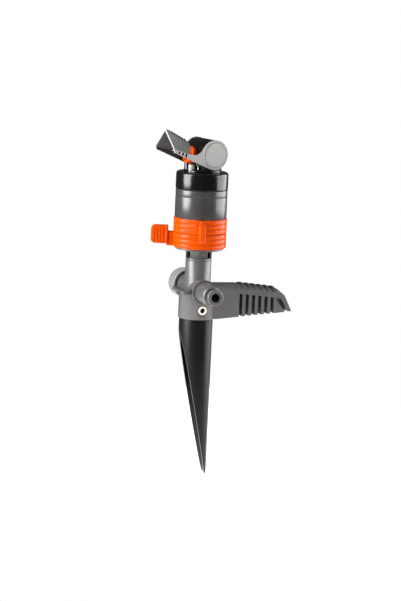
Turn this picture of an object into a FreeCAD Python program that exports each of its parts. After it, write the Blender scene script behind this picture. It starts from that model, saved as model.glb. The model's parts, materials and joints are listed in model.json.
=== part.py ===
"""Turbine driven sector sprinkler on a ground spike.

Frame: millimetres, origin on the vertical axis at the ground line, +Z up, step handle along +X,
hose connector along -Y, end cap along +Y.
"""
import FreeCAD, Part
import math
import os

import Sketcher

Vector = FreeCAD.Vector
Rotation = FreeCAD.Rotation

SIZES = [
    # spike
    ("spike_radius", 17.75), ("spike_wall", 2.8), ("spike_seat", 16.5), ("spike_depth", 167.0),
    ("cut_start", 11.5), ("cut_lean", 0.2076), ("cut_heading", 170.7),
    # collar, cross pipe and riser of the stand
    ("collar_radius", 19.0), ("collar_top", 27.7), ("pipe_height", 30.0), ("pipe_bore", 8.0),
    ("boss_radius", 12.6), ("near_boss", 22.0), ("far_boss", 28.0),
    ("riser_radius", 13.6), ("riser_top", 63.5), ("riser_bore", 9.0), ("groove_drop", 2.2),
    ("groove_height", 0.6), ("groove_depth", 0.5),
    ("guard_wall", 1.8), ("guard_height", 8.9), ("guard_opening", 150.0), ("guard_heading", 249.2),
    ("ledge_reach", 23.0), ("ledge_width", 37.8), ("ledge_plate", 2.8), ("ledge_corner", 5.0),
    ("shoulder_rise", 4.0),
    # step handle
    ("handle_length", 102.7), ("handle_width", 27.2), ("handle_root", 32.3), ("handle_drop", 7.0),
    ("handle_crown", 4.3), ("band_height", 4.8), ("handle_turn", 89.5), ("handle_tip", 6.5),
    ("end_plate", 4.6), ("web_width", 12.6), ("web_wall", 2.2), ("web_rise", 6.1),
    ("rib_first", 48.2), ("rib_pitch", 7.1), ("rib_thickness", 3.4), ("heel_gap", 3.0), ("ridge_height", 1.5),
    ("ridge_width", 23.0), ("rib_count", 6),
    # rivet
    ("rivet_height", 10.0), ("rivet_radius", 3.6), ("rivet_bore", 2.85), ("rivet_head", 4.4),
    ("rivet_rim", 0.9),
    # hose connector
    ("shank_radius", 9.2), ("shank_length", 12.0), ("connector_radius", 11.0),
    ("connector_body", 16.0), ("connector_neck", 8.0), ("groove_radius", 6.7), ("groove_width", 4.0),
    ("nose_radius", 8.4), ("nose_length", 5.6), ("connector_bore", 4.8), ("o_ring_wire", 0.95),
    ("filter_wall", 0.8), ("filter_length", 10.0),
    # end cap
    ("nipple_radius", 11.2), ("nipple_length", 16.0), ("cap_radius", 15.4), ("cap_front", 31.0),
    ("cap_depth", 17.0), ("cap_floor", 2.5), ("gasket_thickness", 1.4), ("knurl_count", 54),
    ("knurl_depth", 0.7), ("moving_gap", 0.3), ("rest_gap", 0.1),
    # foot of the drive unit
    ("plug_length", 13.5), ("water_bore", 5.5), ("neck_hex", 10.6), ("neck_height", 9.3),
    ("foot_radius", 25.4), ("foot_thickness", 1.9), ("hub_height", 2.3), ("seal_wire", 0.9),
    ("base_screw_radius", 1.1), ("base_screw_circle", 22.7), ("base_screw_length", 8.0),
    ("screw_head_depth", 0.9), ("screw_head_rim", 0.7),
    # sector rings
    ("journal_radius", 24.4), ("ring_height", 15.4), ("ring_radius", 27.9), ("ring_groove", 1.0),
    ("tab_reach", 51.0), ("tab_root", 33.0), ("tab_thickness", 6.0), ("tab_height", 19.4), ("tab_lift", 2.0),
    ("tab_corner", 4.5), ("lower_tab_heading", 159.2), ("upper_tab_heading", 253.0),
    ("facet_heading", -25.5), ("facet_depth", 1.95), ("facet_width", 20.4),
    # drive housing
    ("housing_radius", 27.1), ("housing_bore", 21.0), ("housing_top", 128.9), ("housing_roof", 4.0),
    ("trim_height", 7.1), ("trim_step", 0.5), ("bush_radius", 9.5), ("bush_length", 8.2),
    ("seal_height", 2.5), ("running_gap", 0.05), ("washer_thickness", 0.5), ("washer_radius", 12.0),
    # turbine and gears
    ("stator_height", 3.8), ("stator_hub", 4.0), ("jet_slot", 2.4), ("diverter_gap", 0.6),
    ("diverter_height", 1.8), ("diverter_radius", 13.0), ("rotor_base", 87.0), ("blade_height", 4.0),
    ("rotor_radius", 19.5), ("rotor_hub", 4.0), ("blade_count", 16), ("axle_radius", 1.5),
    ("plate_base", 93.0), ("plate_thickness", 2.0), ("gear_module", 0.55), ("pinion_teeth", 10),
    ("wheel_teeth", 30), ("output_teeth", 50), ("wheel_height", 2.8), ("gear_clear", 0.3),
    ("pinion_height", 3.9), ("output_height", 3.6), ("output_base", 108.6), ("output_rim", 16.6),
    ("carrier_thickness", 2.2), ("shaft_radius", 7.0), ("shaft_bore", 4.5), ("window_radius", 2.2),
    # turning head
    ("cap_outer", 27.3), ("cap_height", 17.9), ("cap_wall", 2.2), ("cap_roof", 3.0),
    ("cap_edge", 2.6), ("turret_radius", 19.3), ("turret_foot", 3.0), ("head_heading", 192.7),
    ("pivot_back", 2.7), ("pivot_rise", 18.6), ("drum_radius", 15.2), ("drum_width", 33.0),
    ("head_screw_radius", 1.5), ("head_screw_circle", 14.0), ("head_screw_head", 3.0),
    ("nozzle_forward", 15.8), ("nozzle_drop", 1.4), ("nozzle_radius", 8.9), ("nozzle_length", 6.0),
    ("nozzle_bore", 2.6), ("nozzle_tilt", 25.0), ("nozzle_seat", 6.4), ("standpipe_radius", 3.5),
    ("standpipe_forward", 15.6), ("standpipe_side", 3.2), ("standpipe_height", 7.8),
    ("post_radius", 4.2), ("post_forward", 15.0), ("post_side", 4.6), ("wire_radius", 0.45),
    ("wire_forward", 13.4), ("wire_side", 11.5), ("wire_length", 4.0),
    # deflector hood
    ("disc_radius", 15.5), ("disc_plate", 2.2), ("disc_gap", 0.36), ("pin_shank", 3.0),
    ("pin_journal", 3.2), ("pin_depth", 6.5), ("pin_head", 13.0), ("pin_head_rise", 0.4),
    ("pin_recess", 0.9), ("hood_front", 47.0), ("hood_rear", 19.6), ("hood_wall", 2.0),
    ("front_base", 3.6), ("front_eave", 7.0), ("front_ridge", 26.4), ("rear_base", -7.8),
    ("rear_eave", -0.6), ("rear_ridge", 13.0), ("fillet_radius", 13.0), ("slot_width", 1.4),
    ("slot_start", 5.0), ("slot_pitch", 4.4),
    ("tooth_count", 6), ("tooth_pitch", 3.0), ("tooth_height", 1.2), ("tooth_start", 5.0),
]


def text_of(value):
    """Write a number or a Size as expression text."""
    return value.text if isinstance(value, Size) else repr(float(value))


def number_of(value):
    """Read a number or a Size as a plain number."""
    return value.number if isinstance(value, Size) else float(value)


class Size:
    """A dimension that carries both its number and its spreadsheet expression."""

    def __init__(self, number, text):
        self.number = number
        self.text = text

    def __add__(self, other):
        return Size(self.number + number_of(other), f"({self.text} + {text_of(other)})")

    def __sub__(self, other):
        return Size(self.number - number_of(other), f"({self.text} - {text_of(other)})")

    def __mul__(self, other):
        return Size(self.number * number_of(other), f"({self.text} * {text_of(other)})")

    def __truediv__(self, other):
        return Size(self.number / number_of(other), f"({self.text} / {text_of(other)})")

    def __rtruediv__(self, other):
        return Size(number_of(other) / self.number, f"({text_of(other)} / {self.text})")

    def __neg__(self):
        return Size(-self.number, f"(-{self.text})")

    def __radd__(self, other):
        return Size(number_of(other) + self.number, f"({text_of(other)} + {self.text})")

    def __rsub__(self, other):
        return Size(number_of(other) - self.number, f"({text_of(other)} - {self.text})")

    def __rmul__(self, other):
        return self * other


def cosine(angle):
    """Cosine of an angle in degrees."""
    return Size(math.cos(math.radians(number_of(angle))), f"cos({text_of(angle)})")


def sine(angle):
    """Sine of an angle in degrees."""
    return Size(math.sin(math.radians(number_of(angle))), f"sin({text_of(angle)})")


class Sizes:
    """The spreadsheet of driving dimensions, read as attributes."""

    def __init__(self, document):
        sheet = document.addObject("Spreadsheet::Sheet", "Sizes")
        for row, (alias, number) in enumerate(SIZES, start=1):
            sheet.set(f"A{row}", alias)
            sheet.set(f"B{row}", str(number))
            sheet.setAlias(f"B{row}", alias)
            setattr(self, alias, Size(float(number), f"Sizes.{alias}"))


doc = FreeCAD.newDocument("Sprinkler")
s = Sizes(doc)
doc.recompute()
pieces = []


# ---- document helpers ----

def bind(item, **properties):
    """Bind properties to their sheet expressions; two underscores stand for a dot."""
    for name, value in properties.items():
        item.setExpression(name.replace("__", "."), text_of(value))


def place(item, x=0.0, y=0.0, z=0.0, axis=Vector(0, 0, 1), turn=0.0):
    """Give an item its placement, with the position and the turn bound to the sheet."""
    item.Placement = FreeCAD.Placement(Vector(0, 0, 0), Rotation(axis, number_of(turn)))
    bind(item, Placement__Base__x=x, Placement__Base__y=y, Placement__Base__z=z)
    if isinstance(turn, Size):
        bind(item, Placement__Rotation__Angle=turn)
    return item


def plane_of(body, role):
    """Find one of a body's own origin planes."""
    return next(f for f in body.Origin.OriginFeatures if f.Role == role)


def sketch_outline(body, role, points, offset=0.0):
    """Draw a closed, fully dimensioned outline on an origin plane of the body."""
    sketch = body.newObject("Sketcher::SketchObject", body.Name + "_outline")
    sketch.AttachmentSupport = [(plane_of(body, role), "")]
    sketch.MapMode = "FlatFace"
    bind(sketch, AttachmentOffset__Base__z=offset)
    corners = [Vector(number_of(x), number_of(y), 0) for x, y in points]
    count = len(corners)
    for index in range(count):
        sketch.addGeometry(Part.LineSegment(corners[index], corners[(index + 1) % count]), False)
    for index in range(count):
        sketch.addConstraint(Sketcher.Constraint("Coincident", index, 2, (index + 1) % count, 1))
    for index, point in enumerate(points):
        for kind, value in zip(("DistanceX", "DistanceY"), point):
            made = sketch.addConstraint(Sketcher.Constraint(kind, -1, 1, index, 1, number_of(value)))
            sketch.setExpression(f"Constraints[{made}]", text_of(value))
    return sketch


def new_body(name):
    """Start a part design body."""
    body = doc.addObject("PartDesign::Body", name)
    body.Label = name
    return body


def turned(name, profile):
    """Revolve a (radius, height) profile about the Z axis."""
    body = new_body(name)
    sketch = sketch_outline(body, "XZ_Plane", profile)
    turn = body.newObject("PartDesign::Revolution", name + "_turn")
    turn.Profile = sketch
    turn.ReferenceAxis = (sketch, ["V_Axis"])
    turn.Angle = 360
    return body


def padded(name, outline, length, role="XY_Plane", middle=False, offset=0.0):
    """Pad an outline off an origin plane, one way or evenly both ways."""
    body = new_body(name)
    sketch = sketch_outline(body, role, outline, offset)
    pad = body.newObject("PartDesign::Pad", name + "_pad")
    pad.Profile = sketch
    pad.Midplane = middle
    bind(pad, Length=length)
    return body


def lofted(name, sections):
    """Loft straight between outlines on planes across X; each section is (x, [(y, z), ...])."""
    body = new_body(name)
    sketches = [sketch_outline(body, "YZ_Plane", points, x) for x, points in sections]
    loft = body.newObject("PartDesign::AdditiveLoft", name + "_loft")
    loft.Profile = sketches[0]
    loft.Sections = sketches[1:]
    loft.Ruled = True
    return body


def cylinder(name, radius, low, high, axis="Z", at=(0.0, 0.0)):
    """A cylinder from low to high along an axis; at gives the other two coordinates in order."""
    item = doc.addObject("Part::Cylinder", name)
    bind(item, Radius=radius, Height=high - low)
    if axis == "Z":
        return place(item, at[0], at[1], low)
    if axis == "Y":
        return place(item, at[0], low, at[1], Vector(1, 0, 0), -90)
    return place(item, low, at[0], at[1], Vector(0, 1, 0), 90)


def box(name, x, y, z, spin=0.0):
    """A box given by its (low, high) pairs, then turned about the Z axis by spin degrees."""
    item = doc.addObject("Part::Box", name)
    bind(item, Length=x[1] - x[0], Width=y[1] - y[0], Height=z[1] - z[0])
    across, along = math.cos(math.radians(spin)), math.sin(math.radians(spin))
    return place(item, x[0] * across - y[0] * along, x[0] * along + y[0] * across, z[0], turn=spin)


def joined(name, items):
    """Fuse items into one solid."""
    item = doc.addObject("Part::MultiFuse", name)
    item.Shapes = items
    item.Refine = True
    return item


def without(name, base, tools):
    """Cut tools away from a base."""
    item = doc.addObject("Part::Cut", name)
    item.Base = base
    item.Tool = tools[0] if len(tools) == 1 else joined(name + "_tools", tools)
    item.Refine = True
    return item


def group(name, items):
    """Keep separate solids together in one node."""
    item = doc.addObject("Part::Compound", name)
    item.Links = items
    return item


def finish(item, name, heading=None):
    """Label the finished piece, turn it to its heading and keep it for export."""
    item.Label = name
    if heading is not None:
        bind(item, Placement__Rotation__Angle=heading)
    pieces.append(item)
    return item


# ---- levels shared by the stacked pieces ----

FOOT_BASE = s.riser_top + s.neck_height
FOOT_TOP = FOOT_BASE + s.foot_thickness
LOWER_RING = FOOT_TOP + s.moving_gap
UPPER_RING = LOWER_RING + s.ring_height + s.moving_gap
JOURNAL_TOP = UPPER_RING + s.ring_height + s.moving_gap
ROOF_BASE = s.housing_top - s.housing_roof
TRIM_TOP = s.housing_top + s.trim_height
CAP_BASE = TRIM_TOP + s.moving_gap
CAP_TOP = CAP_BASE + s.cap_height
HUB_BASE = TRIM_TOP + s.rest_gap + s.washer_thickness
CAP_CEILING = CAP_TOP - s.cap_roof
PIVOT_HEIGHT = CAP_TOP + s.pivot_rise
STATOR_BASE = FOOT_TOP + s.hub_height
STATOR_TOP = STATOR_BASE + s.stator_height
DIVERTER_BASE = STATOR_TOP + s.diverter_gap
DIVERTER_TOP = DIVERTER_BASE + s.diverter_height
PLATE_TOP = s.plate_base + s.plate_thickness
FIRST_MESH = PLATE_TOP + s.gear_clear
SECOND_MESH = FIRST_MESH + s.pinion_height + s.gear_clear
THIRD_MESH = SECOND_MESH + s.pinion_height + s.gear_clear
CARRIER_BASE = s.output_base + s.output_height
CARRIER_TOP = CARRIER_BASE + s.carrier_thickness
AXLE_SPACING = s.gear_module * (s.pinion_teeth + s.wheel_teeth) / 2
DISC_INNER = s.drum_width / 2 + s.disc_gap
DISC_OUTER = DISC_INNER + s.disc_plate
BEHIND = -s.pivot_back


# ---- stand ----

def make_spike():
    """Half open tube: a plane cut leans across it from below the collar down to the tip."""
    outside = cylinder("spike_outside", s.spike_radius, -s.spike_depth, s.spike_seat)
    inside = cylinder("spike_inside", s.spike_radius - s.spike_wall, -s.spike_depth, s.spike_seat)
    reach = s.spike_radius + 4.0
    deep = -s.spike_depth - 3.0
    start = (reach, -s.cut_start + 4.0 / s.cut_lean)
    finish_point = (reach + (deep - start[1]) * s.cut_lean, deep)
    outline = [start, finish_point, (reach, deep)]
    scoop = padded("spike_scoop", outline, s.spike_radius * 3, "XZ_Plane", middle=True)
    place(scoop, turn=s.cut_heading)
    hole = cylinder("spike_hole", s.rivet_radius, -s.collar_radius, s.collar_radius, "Y",
                    (0.0, s.rivet_height))
    finish(without("spike_part", outside, [inside, scoop, hole]), "spike")


def crease(x):
    """Height of the top edge of the handle's side band at a distance from the axis."""
    stations = [(12.0, 0.0), (16.0, 0.0), (42.0, 0.13), (72.0, 0.66), (89.5, 1.0), (93.5, 1.17)]
    for (x_low, low), (x_high, high) in zip(stations, stations[1:]):
        if x <= x_high:
            share = low + (high - low) * (x - x_low) / (x_high - x_low)
            return s.handle_root - s.handle_drop * share
    return s.handle_root - s.handle_drop


def handle_section(x, crown, rise=0.0, half=None, band=None):
    """Arched cross section of the handle's flange."""
    edge = crease(x)
    half = s.handle_width / 2 if half is None else half
    low = edge - (s.band_height if band is None else band)
    shoulder = edge + crown * 0.2 + rise
    right = [(half, low), (half, shoulder if rise else edge), (half * 0.62, edge + crown * 0.76 + rise),
             (half * 0.24, edge + crown + rise)]
    left = [(-y, z) for y, z in reversed(right)]
    return right + left


def make_handle():
    """Step handle: arched flange, hollow web, end plate, side ribs and top ridges."""
    crown = s.handle_crown
    spine = lofted("handle_flange", [(x, handle_section(x, crown * share)) for x, share in
                                     ((12.0, 1.0), (42.0, 1.05), (72.0, 1.0), (89.5, 0.86), (93.5, 0.3))])
    turn = s.handle_turn
    under = crease(89.5) - s.band_height
    tip = s.handle_length
    end_outline = [(turn - 3.5, under), (turn + 0.7, under), (tip - s.end_plate, s.handle_tip),
                   (tip, s.handle_tip), (turn + 4.6, crease(93.5) - 0.4), (turn + 3.0, crease(93.5)),
                   (turn, crease(89.5))]
    end = padded("handle_end", end_outline, s.handle_width, "XZ_Plane", middle=True)
    web_outline = [(10.0, 0.0), (s.collar_radius, 0.0), (tip - 4.2, s.web_rise), (turn + 2.0, under + 1.0),
                   (72.0, crease(72.0) - 3.6), (42.0, crease(42.0) - 3.6), (10.0, crease(12.0) - 3.6)]
    web = padded("handle_web", web_outline, s.web_width, "XZ_Plane", middle=True)
    ribs = []
    root = root_end()
    root_outline = [(12.0, 0.0), (s.collar_radius, 0.0), (root, web_low(root)),
                    (root, crease(number_of(root)) - 3.6), (12.0, crease(12.0) - 3.6)]
    ribs.append(padded("handle_root_wall", root_outline, s.handle_width, "XZ_Plane", middle=True))
    heel = s.rib_first + s.rib_pitch * (s.rib_count - 1.0)
    heel_foot = tip - s.end_plate - s.heel_gap
    heel_top = turn - 3.5 - s.heel_gap
    heel_outline = [(heel, web_low(heel)), (heel_foot, web_low(heel_foot)), (heel_top, under + 0.6),
                    (heel, crease(number_of(heel)) - 3.6)]
    ribs.append(padded("handle_heel", heel_outline, s.handle_width, "XZ_Plane", middle=True))
    for index in range(int(number_of(s.rib_count))):
        middle = s.rib_first + s.rib_pitch * float(index)
        x = number_of(middle)
        low = web_low(middle)
        ribs.append(box(f"handle_rib_{index}", (middle - s.rib_thickness / 2, middle + s.rib_thickness / 2),
                        (-s.handle_width / 2, s.handle_width / 2), (low, crease(x) - 3.6)))
        outline = handle_section(x, crown, s.ridge_height, s.ridge_width / 2, 1.0)
        ribs.append(padded(f"handle_ridge_{index}", outline, s.rib_thickness * 0.8, "YZ_Plane",
                           offset=middle - s.rib_thickness * 0.4))
    return [spine, end, web] + ribs


def web_low(x):
    """Height of the handle's lower edge at a distance from the axis."""
    span = number_of(s.handle_length) - 4.2 - number_of(s.collar_radius)
    return s.web_rise * ((number_of(x) - number_of(s.collar_radius)) / span)


def root_end():
    """Where the handle's plain side wall stops, one gap before the first rib."""
    return s.rib_first - s.rib_pitch + s.rib_thickness / 2


def make_pocket():
    """Wide hollow between the plain side walls of the handle, open below."""
    half = s.handle_width / 2 - s.web_wall
    return box("handle_pocket", (s.collar_radius + 1.5, root_end() - s.web_wall), (-half, half),
               (-2.0, s.handle_root - 7.4))


def make_groove():
    """Thin groove round the riser, just below its rim."""
    top = s.riser_top - s.groove_drop
    outer = cylinder("groove_outer", s.riser_radius + 1.0, top - s.groove_height, top)
    core = cylinder("groove_core", s.riser_radius - s.groove_depth, top - s.groove_height - 0.1, top + 0.1)
    return without("groove_ring", outer, [core])


def make_channel():
    """Hollow of the handle's web, open below."""
    outline = [(s.collar_radius + 1.5, -2.0), (s.handle_length - 7.6, -2.0),
               (s.handle_length - 7.6, s.web_rise),
               (s.handle_turn - 1.0, crease(89.5) - 7.4), (72.0, crease(72.0) - 7.4),
               (42.0, crease(42.0) - 7.4), (s.collar_radius + 1.5, crease(16.0) - 7.4)]
    return padded("handle_channel", outline, s.web_width - s.web_wall * 2, "XZ_Plane", middle=True)


def make_ledge():
    """Small step plate opposite the handle, with the shoulder that rises to the riser."""
    half = s.ledge_width / 2
    corner = s.ledge_corner
    reach = -s.ledge_reach
    outline = [(0.0, -half), (0.0, half), (reach + corner, half), (reach + corner * 0.3, half - corner * 0.3),
               (reach, half - corner), (reach, -half + corner), (reach + corner * 0.3, -half + corner * 0.3),
               (reach + corner, -half)]
    plate = padded("ledge_plate_pad", outline, s.ledge_plate)
    place(plate, z=s.collar_top)
    top = s.collar_top + s.ledge_plate
    rise = [(0.0, s.collar_top), (-s.collar_radius + 1.0, s.collar_top), (-s.collar_radius + 3.0, top),
            (-s.riser_radius + 3.0, top + s.shoulder_rise), (0.0, top + s.shoulder_rise)]
    shoulder = padded("ledge_shoulder", rise, s.collar_radius * 1.8, "XZ_Plane", middle=True)
    return [plate, shoulder]


def make_guard():
    """Wall that stands up from the riser round the back of the neck."""
    outer = cylinder("guard_outer", s.riser_radius, s.riser_top - 1.0, s.riser_top + s.guard_height)
    inner = cylinder("guard_inner", s.riser_radius - s.guard_wall, s.riser_top - 1.0,
                     s.riser_top + s.guard_height)
    near, far = 8.0, 40.0
    half = s.guard_opening / 2
    outline = [(0.0, 0.0), (cosine(half) * far, -sine(half) * far), (far, -sine(half) * far),
               (far, sine(half) * far), (cosine(half) * far, sine(half) * far)]
    window = padded("guard_window", outline, s.guard_height + near)
    place(window, z=s.riser_top, turn=s.guard_heading)
    return without("guard_wall_ring", outer, [inner, window])


def make_stand():
    """The grey moulding that carries everything."""
    axis = (0.0, s.pipe_height)
    far_end = s.far_boss + s.nipple_length
    solids = [
        cylinder("collar", s.collar_radius, 0.0, s.collar_top + s.ledge_plate),
        cylinder("cross_pipe", s.boss_radius, -s.near_boss, s.far_boss, "Y", axis),
        cylinder("nipple", s.nipple_radius, s.far_boss, far_end, "Y", axis),
        cylinder("riser", s.riser_radius, s.collar_top, s.riser_top),
        make_guard(),
    ]
    holes = [
        cylinder("collar_bore", s.spike_radius, 0.0, s.spike_seat),
        cylinder("rivet_hole", s.rivet_radius, -s.collar_radius, s.collar_radius, "Y", (0.0, s.rivet_height)),
        cylinder("pipe_bore_cut", s.pipe_bore, -s.near_boss, far_end, "Y", axis),
        cylinder("shank_bore", s.shank_radius, -s.near_boss, s.shank_length - s.near_boss, "Y", axis),
        cylinder("riser_bore_cut", s.riser_bore, s.pipe_height, s.riser_top),
        make_channel(), make_pocket(), make_groove(),
    ]
    seat = rivet_face()
    for side, low, high in (("near", -s.collar_radius - 1.0, -seat), ("far", seat, s.collar_radius + 1.0)):
        holes.append(cylinder(f"rivet_seat_{side}", s.rivet_head + 0.3, low, high, "Y",
                              (0.0, s.rivet_height)))
    body = joined("stand_solids", solids + make_handle() + make_ledge())
    finish(without("stand_part", body, holes), "stand_body")


def rivet_face():
    """Distance from the axis of the flat seats under the rivet's heads."""
    return s.collar_radius - s.rivet_rim * 0.7


def make_rivet():
    """Tubular rivet that holds the spike in the collar."""
    seat = rivet_face()
    rim = seat + s.rivet_rim
    profile = [(s.rivet_bore, -rim), (s.rivet_head - 0.4, -rim), (s.rivet_head, -rim + 0.4),
               (s.rivet_head, -seat),
               (s.rivet_radius, -seat), (s.rivet_radius, seat), (s.rivet_head, seat),
               (s.rivet_head, rim - 0.4), (s.rivet_head - 0.4, rim), (s.rivet_bore, rim)]
    rivet = turned("rivet_turned", profile)
    place(rivet, z=s.rivet_height, axis=Vector(1, 0, 0), turn=90)
    finish(rivet, "spike_rivet")


def on_near_pipe(item):
    """Stand a turned piece on the near boss of the cross pipe."""
    return place(item, y=-s.near_boss, z=s.pipe_height, axis=Vector(1, 0, 0), turn=90)


def make_connector():
    """Quick connector: shank, rounded body, seal groove and nose."""
    body = s.connector_body
    shoulder = body + s.connector_neck
    nose = shoulder + s.groove_width
    tip = nose + s.nose_length
    drop = s.connector_radius - s.nose_radius
    curve = [(s.connector_radius - drop * (1.0 - math.cos(a)),
              body - 1.5 + (s.connector_neck + 1.5) * math.sin(a))
             for a in (0.0, 0.35, 0.7, 1.05, 1.35)]
    profile = [(s.connector_bore, -2.0), (s.pipe_bore, -2.0), (s.pipe_bore, -s.shank_length),
               (s.shank_radius, -s.shank_length), (s.shank_radius, 0.0), (s.connector_radius, 0.0)]
    profile += curve + [(s.nose_radius, shoulder), (s.groove_radius, shoulder), (s.groove_radius, nose),
                        (s.nose_radius - 0.4, nose), (s.nose_radius, nose + 0.4), (s.nose_radius, tip - 0.7),
                        (s.nose_radius - 0.7, tip), (s.connector_bore, tip)]
    finish(on_near_pipe(turned("connector_turned", profile)), "hose_connector")
    seal = doc.addObject("Part::Torus", "connector_seal")
    bind(seal, Radius1=s.groove_radius + s.o_ring_wire, Radius2=s.o_ring_wire)
    place(seal, y=-s.near_boss - shoulder - s.groove_width / 2, z=s.pipe_height, axis=Vector(1, 0, 0),
          turn=90)
    finish(seal, "connector_o_ring")


def make_filter():
    """Conical strainer in the back of the connector."""
    low = -s.shank_length
    tip = low + s.filter_length
    wall = s.filter_wall
    profile = [(0.0, tip), (2.0, tip), (s.pipe_bore - 1.2, low + 1.0), (s.pipe_bore, low + 1.0),
               (s.pipe_bore, low),
               (s.pipe_bore - 2.4, low), (2.0 - wall, tip - wall * 1.5), (0.0, tip - wall * 1.5)]
    finish(on_near_pipe(turned("filter_turned", profile)), "inlet_filter")


def make_end_cap():
    """Knurled cap that closes the far end of the cross pipe, with its gasket."""
    bore = s.nipple_radius + s.moving_gap
    back = s.cap_front + s.cap_depth
    floor = back - s.cap_floor
    profile = [(0.0, back), (s.cap_radius - 1.2, back), (s.cap_radius, back - 1.2),
               (s.cap_radius, s.cap_front + 0.8),
               (s.cap_radius - 0.8, s.cap_front), (bore, s.cap_front), (bore, floor), (0.0, floor)]
    cap = turned("cap_turned", profile)
    outline = [(s.cap_radius - s.knurl_depth, 0.0), (s.cap_radius + 0.6, -0.95), (s.cap_radius + 0.6, 0.95)]
    notch = cap.newObject("PartDesign::Pocket", "cap_notch")
    notch.Profile = sketch_outline(cap, "XY_Plane", outline, back - s.cap_floor * 0.6)
    bind(notch, Length=s.cap_depth - s.cap_floor * 1.2)
    doc.recompute()
    pattern = cap.newObject("PartDesign::PolarPattern", "cap_knurl")
    pattern.Originals = [notch]
    pattern.Axis = (plane_of(cap, "Z_Axis"), [""])
    pattern.Angle = 360
    bind(pattern, Occurrences=s.knurl_count)
    cap.Tip = pattern
    place(cap, z=s.pipe_height, axis=Vector(1, 0, 0), turn=-90)
    finish(cap, "end_cap")
    gasket = cylinder("gasket_disc", bore - s.rest_gap, floor - s.gasket_thickness, floor, "Y",
                      (0.0, s.pipe_height))
    finish(gasket, "end_cap_gasket")


# ---- drive unit ----

def make_housing_base():
    """Foot of the drive unit: plug, hexagonal neck, round flange and inner hub."""
    plug = s.riser_top - s.plug_length
    groove = plug + s.plug_length / 2
    depth = s.riser_bore - s.seal_wire * 2
    profile = [(s.water_bore, plug), (s.riser_bore - 0.8, plug), (s.riser_bore, plug + 0.8),
               (s.riser_bore, groove - s.seal_wire), (depth, groove - s.seal_wire),
               (depth, groove + s.seal_wire),
               (s.riser_bore, groove + s.seal_wire), (s.riser_bore, FOOT_BASE + 0.5),
               (s.water_bore, FOOT_BASE + 0.5)]
    stem = turned("base_stem", profile)
    flange_profile = [(s.water_bore, FOOT_BASE), (s.foot_radius - 0.7, FOOT_BASE),
                      (s.foot_radius, FOOT_BASE + 0.7),
                      (s.foot_radius, FOOT_TOP), (s.housing_bore, FOOT_TOP), (s.housing_bore, STATOR_BASE),
                      (s.water_bore, STATOR_BASE)]
    flange = turned("base_flange", flange_profile)
    neck = doc.addObject("Part::Prism", "base_neck")
    neck.Polygon = 6
    bind(neck, Circumradius=s.neck_hex, Height=s.neck_height + 0.5)
    place(neck, z=s.riser_top, turn=s.guard_heading)
    bore = cylinder("base_bore", s.water_bore, plug, STATOR_BASE)
    spots = circle_points(s.base_screw_circle, 3)
    holes = [cylinder(f"base_hole_{i}", s.base_screw_radius, FOOT_BASE, STATOR_BASE, at=xy)
             for i, xy in enumerate(spots)]
    holes += [cylinder(f"base_sink_{i}", s.base_screw_radius + s.screw_head_rim, FOOT_BASE,
                       FOOT_BASE + s.screw_head_depth, at=xy) for i, xy in enumerate(spots)]
    finish(without("base_part", joined("base_solids", [stem, flange, neck]), [bore] + holes), "housing_base")
    ring = doc.addObject("Part::Torus", "neck_seal")
    bind(ring, Radius1=s.riser_bore - s.seal_wire, Radius2=s.seal_wire)
    place(ring, z=groove)
    finish(ring, "neck_o_ring")


def circle_points(radius, count, start=30.0):
    """Evenly spaced positions on a circle about the axis."""
    angles = [math.radians(start + 360.0 * index / count) for index in range(count)]
    return [(radius * math.cos(angle), radius * math.sin(angle)) for angle in angles]


def make_base_screws():
    """Three screws that hold the drive housing on its foot."""
    screws = []
    for index, xy in enumerate(circle_points(s.base_screw_circle, 3)):
        shank = cylinder(f"base_shank_{index}", s.base_screw_radius, FOOT_BASE,
                         FOOT_BASE + s.base_screw_length, at=xy)
        head = cylinder(f"base_head_{index}", s.base_screw_radius + s.screw_head_rim, FOOT_BASE,
                        FOOT_BASE + s.screw_head_depth, at=xy)
        slot = box(f"base_slot_{index}", (xy[0] - 3.0, xy[0] + 3.0), (xy[1] - 0.3, xy[1] + 0.3),
                   (FOOT_BASE - 0.5, FOOT_BASE + 0.5))
        screws.append(without(f"base_screw_{index}", joined(f"base_blank_{index}", [shank, head]), [slot]))
    finish(group("base_screw_set", screws), "base_screws")


def make_ring(name, base, paddle_base):
    """Ribbed sector ring with its thumb tab, before any facet."""
    bore = s.journal_radius + s.moving_gap
    rib = s.ring_height / 3
    valley = s.ring_radius - s.ring_groove
    profile = [(bore, base)]
    for index in range(3):
        low = base + rib * float(index)
        profile += [(valley, low), (s.ring_radius, low + 0.7), (s.ring_radius, low + rib - 0.9)]
    profile += [(valley, base + s.ring_height), (bore, base + s.ring_height)]
    band = turned(f"{name}_band", profile)
    low, high = paddle_base, paddle_base + s.tab_height
    root, reach, corner = s.tab_root, s.tab_reach, s.tab_corner
    outline = [(root, low), (reach - corner, low), (reach - corner * 0.3, low + corner * 0.3),
               (reach, low + corner),
               (reach, high - corner), (reach - corner * 0.3, high - corner * 0.3), (reach - corner, high),
               (root, high)]
    paddle = padded(f"{name}_paddle", outline, s.tab_thickness, "XZ_Plane", middle=True)
    half = s.tab_thickness / 2
    arm = box(f"{name}_arm", (s.ring_radius - 2.0, root + 1.0), (-half + 0.8, half - 0.8),
              (base, base + s.ring_height))
    grips = [box(f"{name}_grip_{i}", (root + x, root + x + 1.3), (-half - 0.45, half + 0.45),
                 (low + 3.0, high - 3.0)) for i, x in enumerate((4.2, 7.4, 10.6, 13.8))]
    return joined(f"{name}_solids", [band, paddle, arm] + grips)


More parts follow.
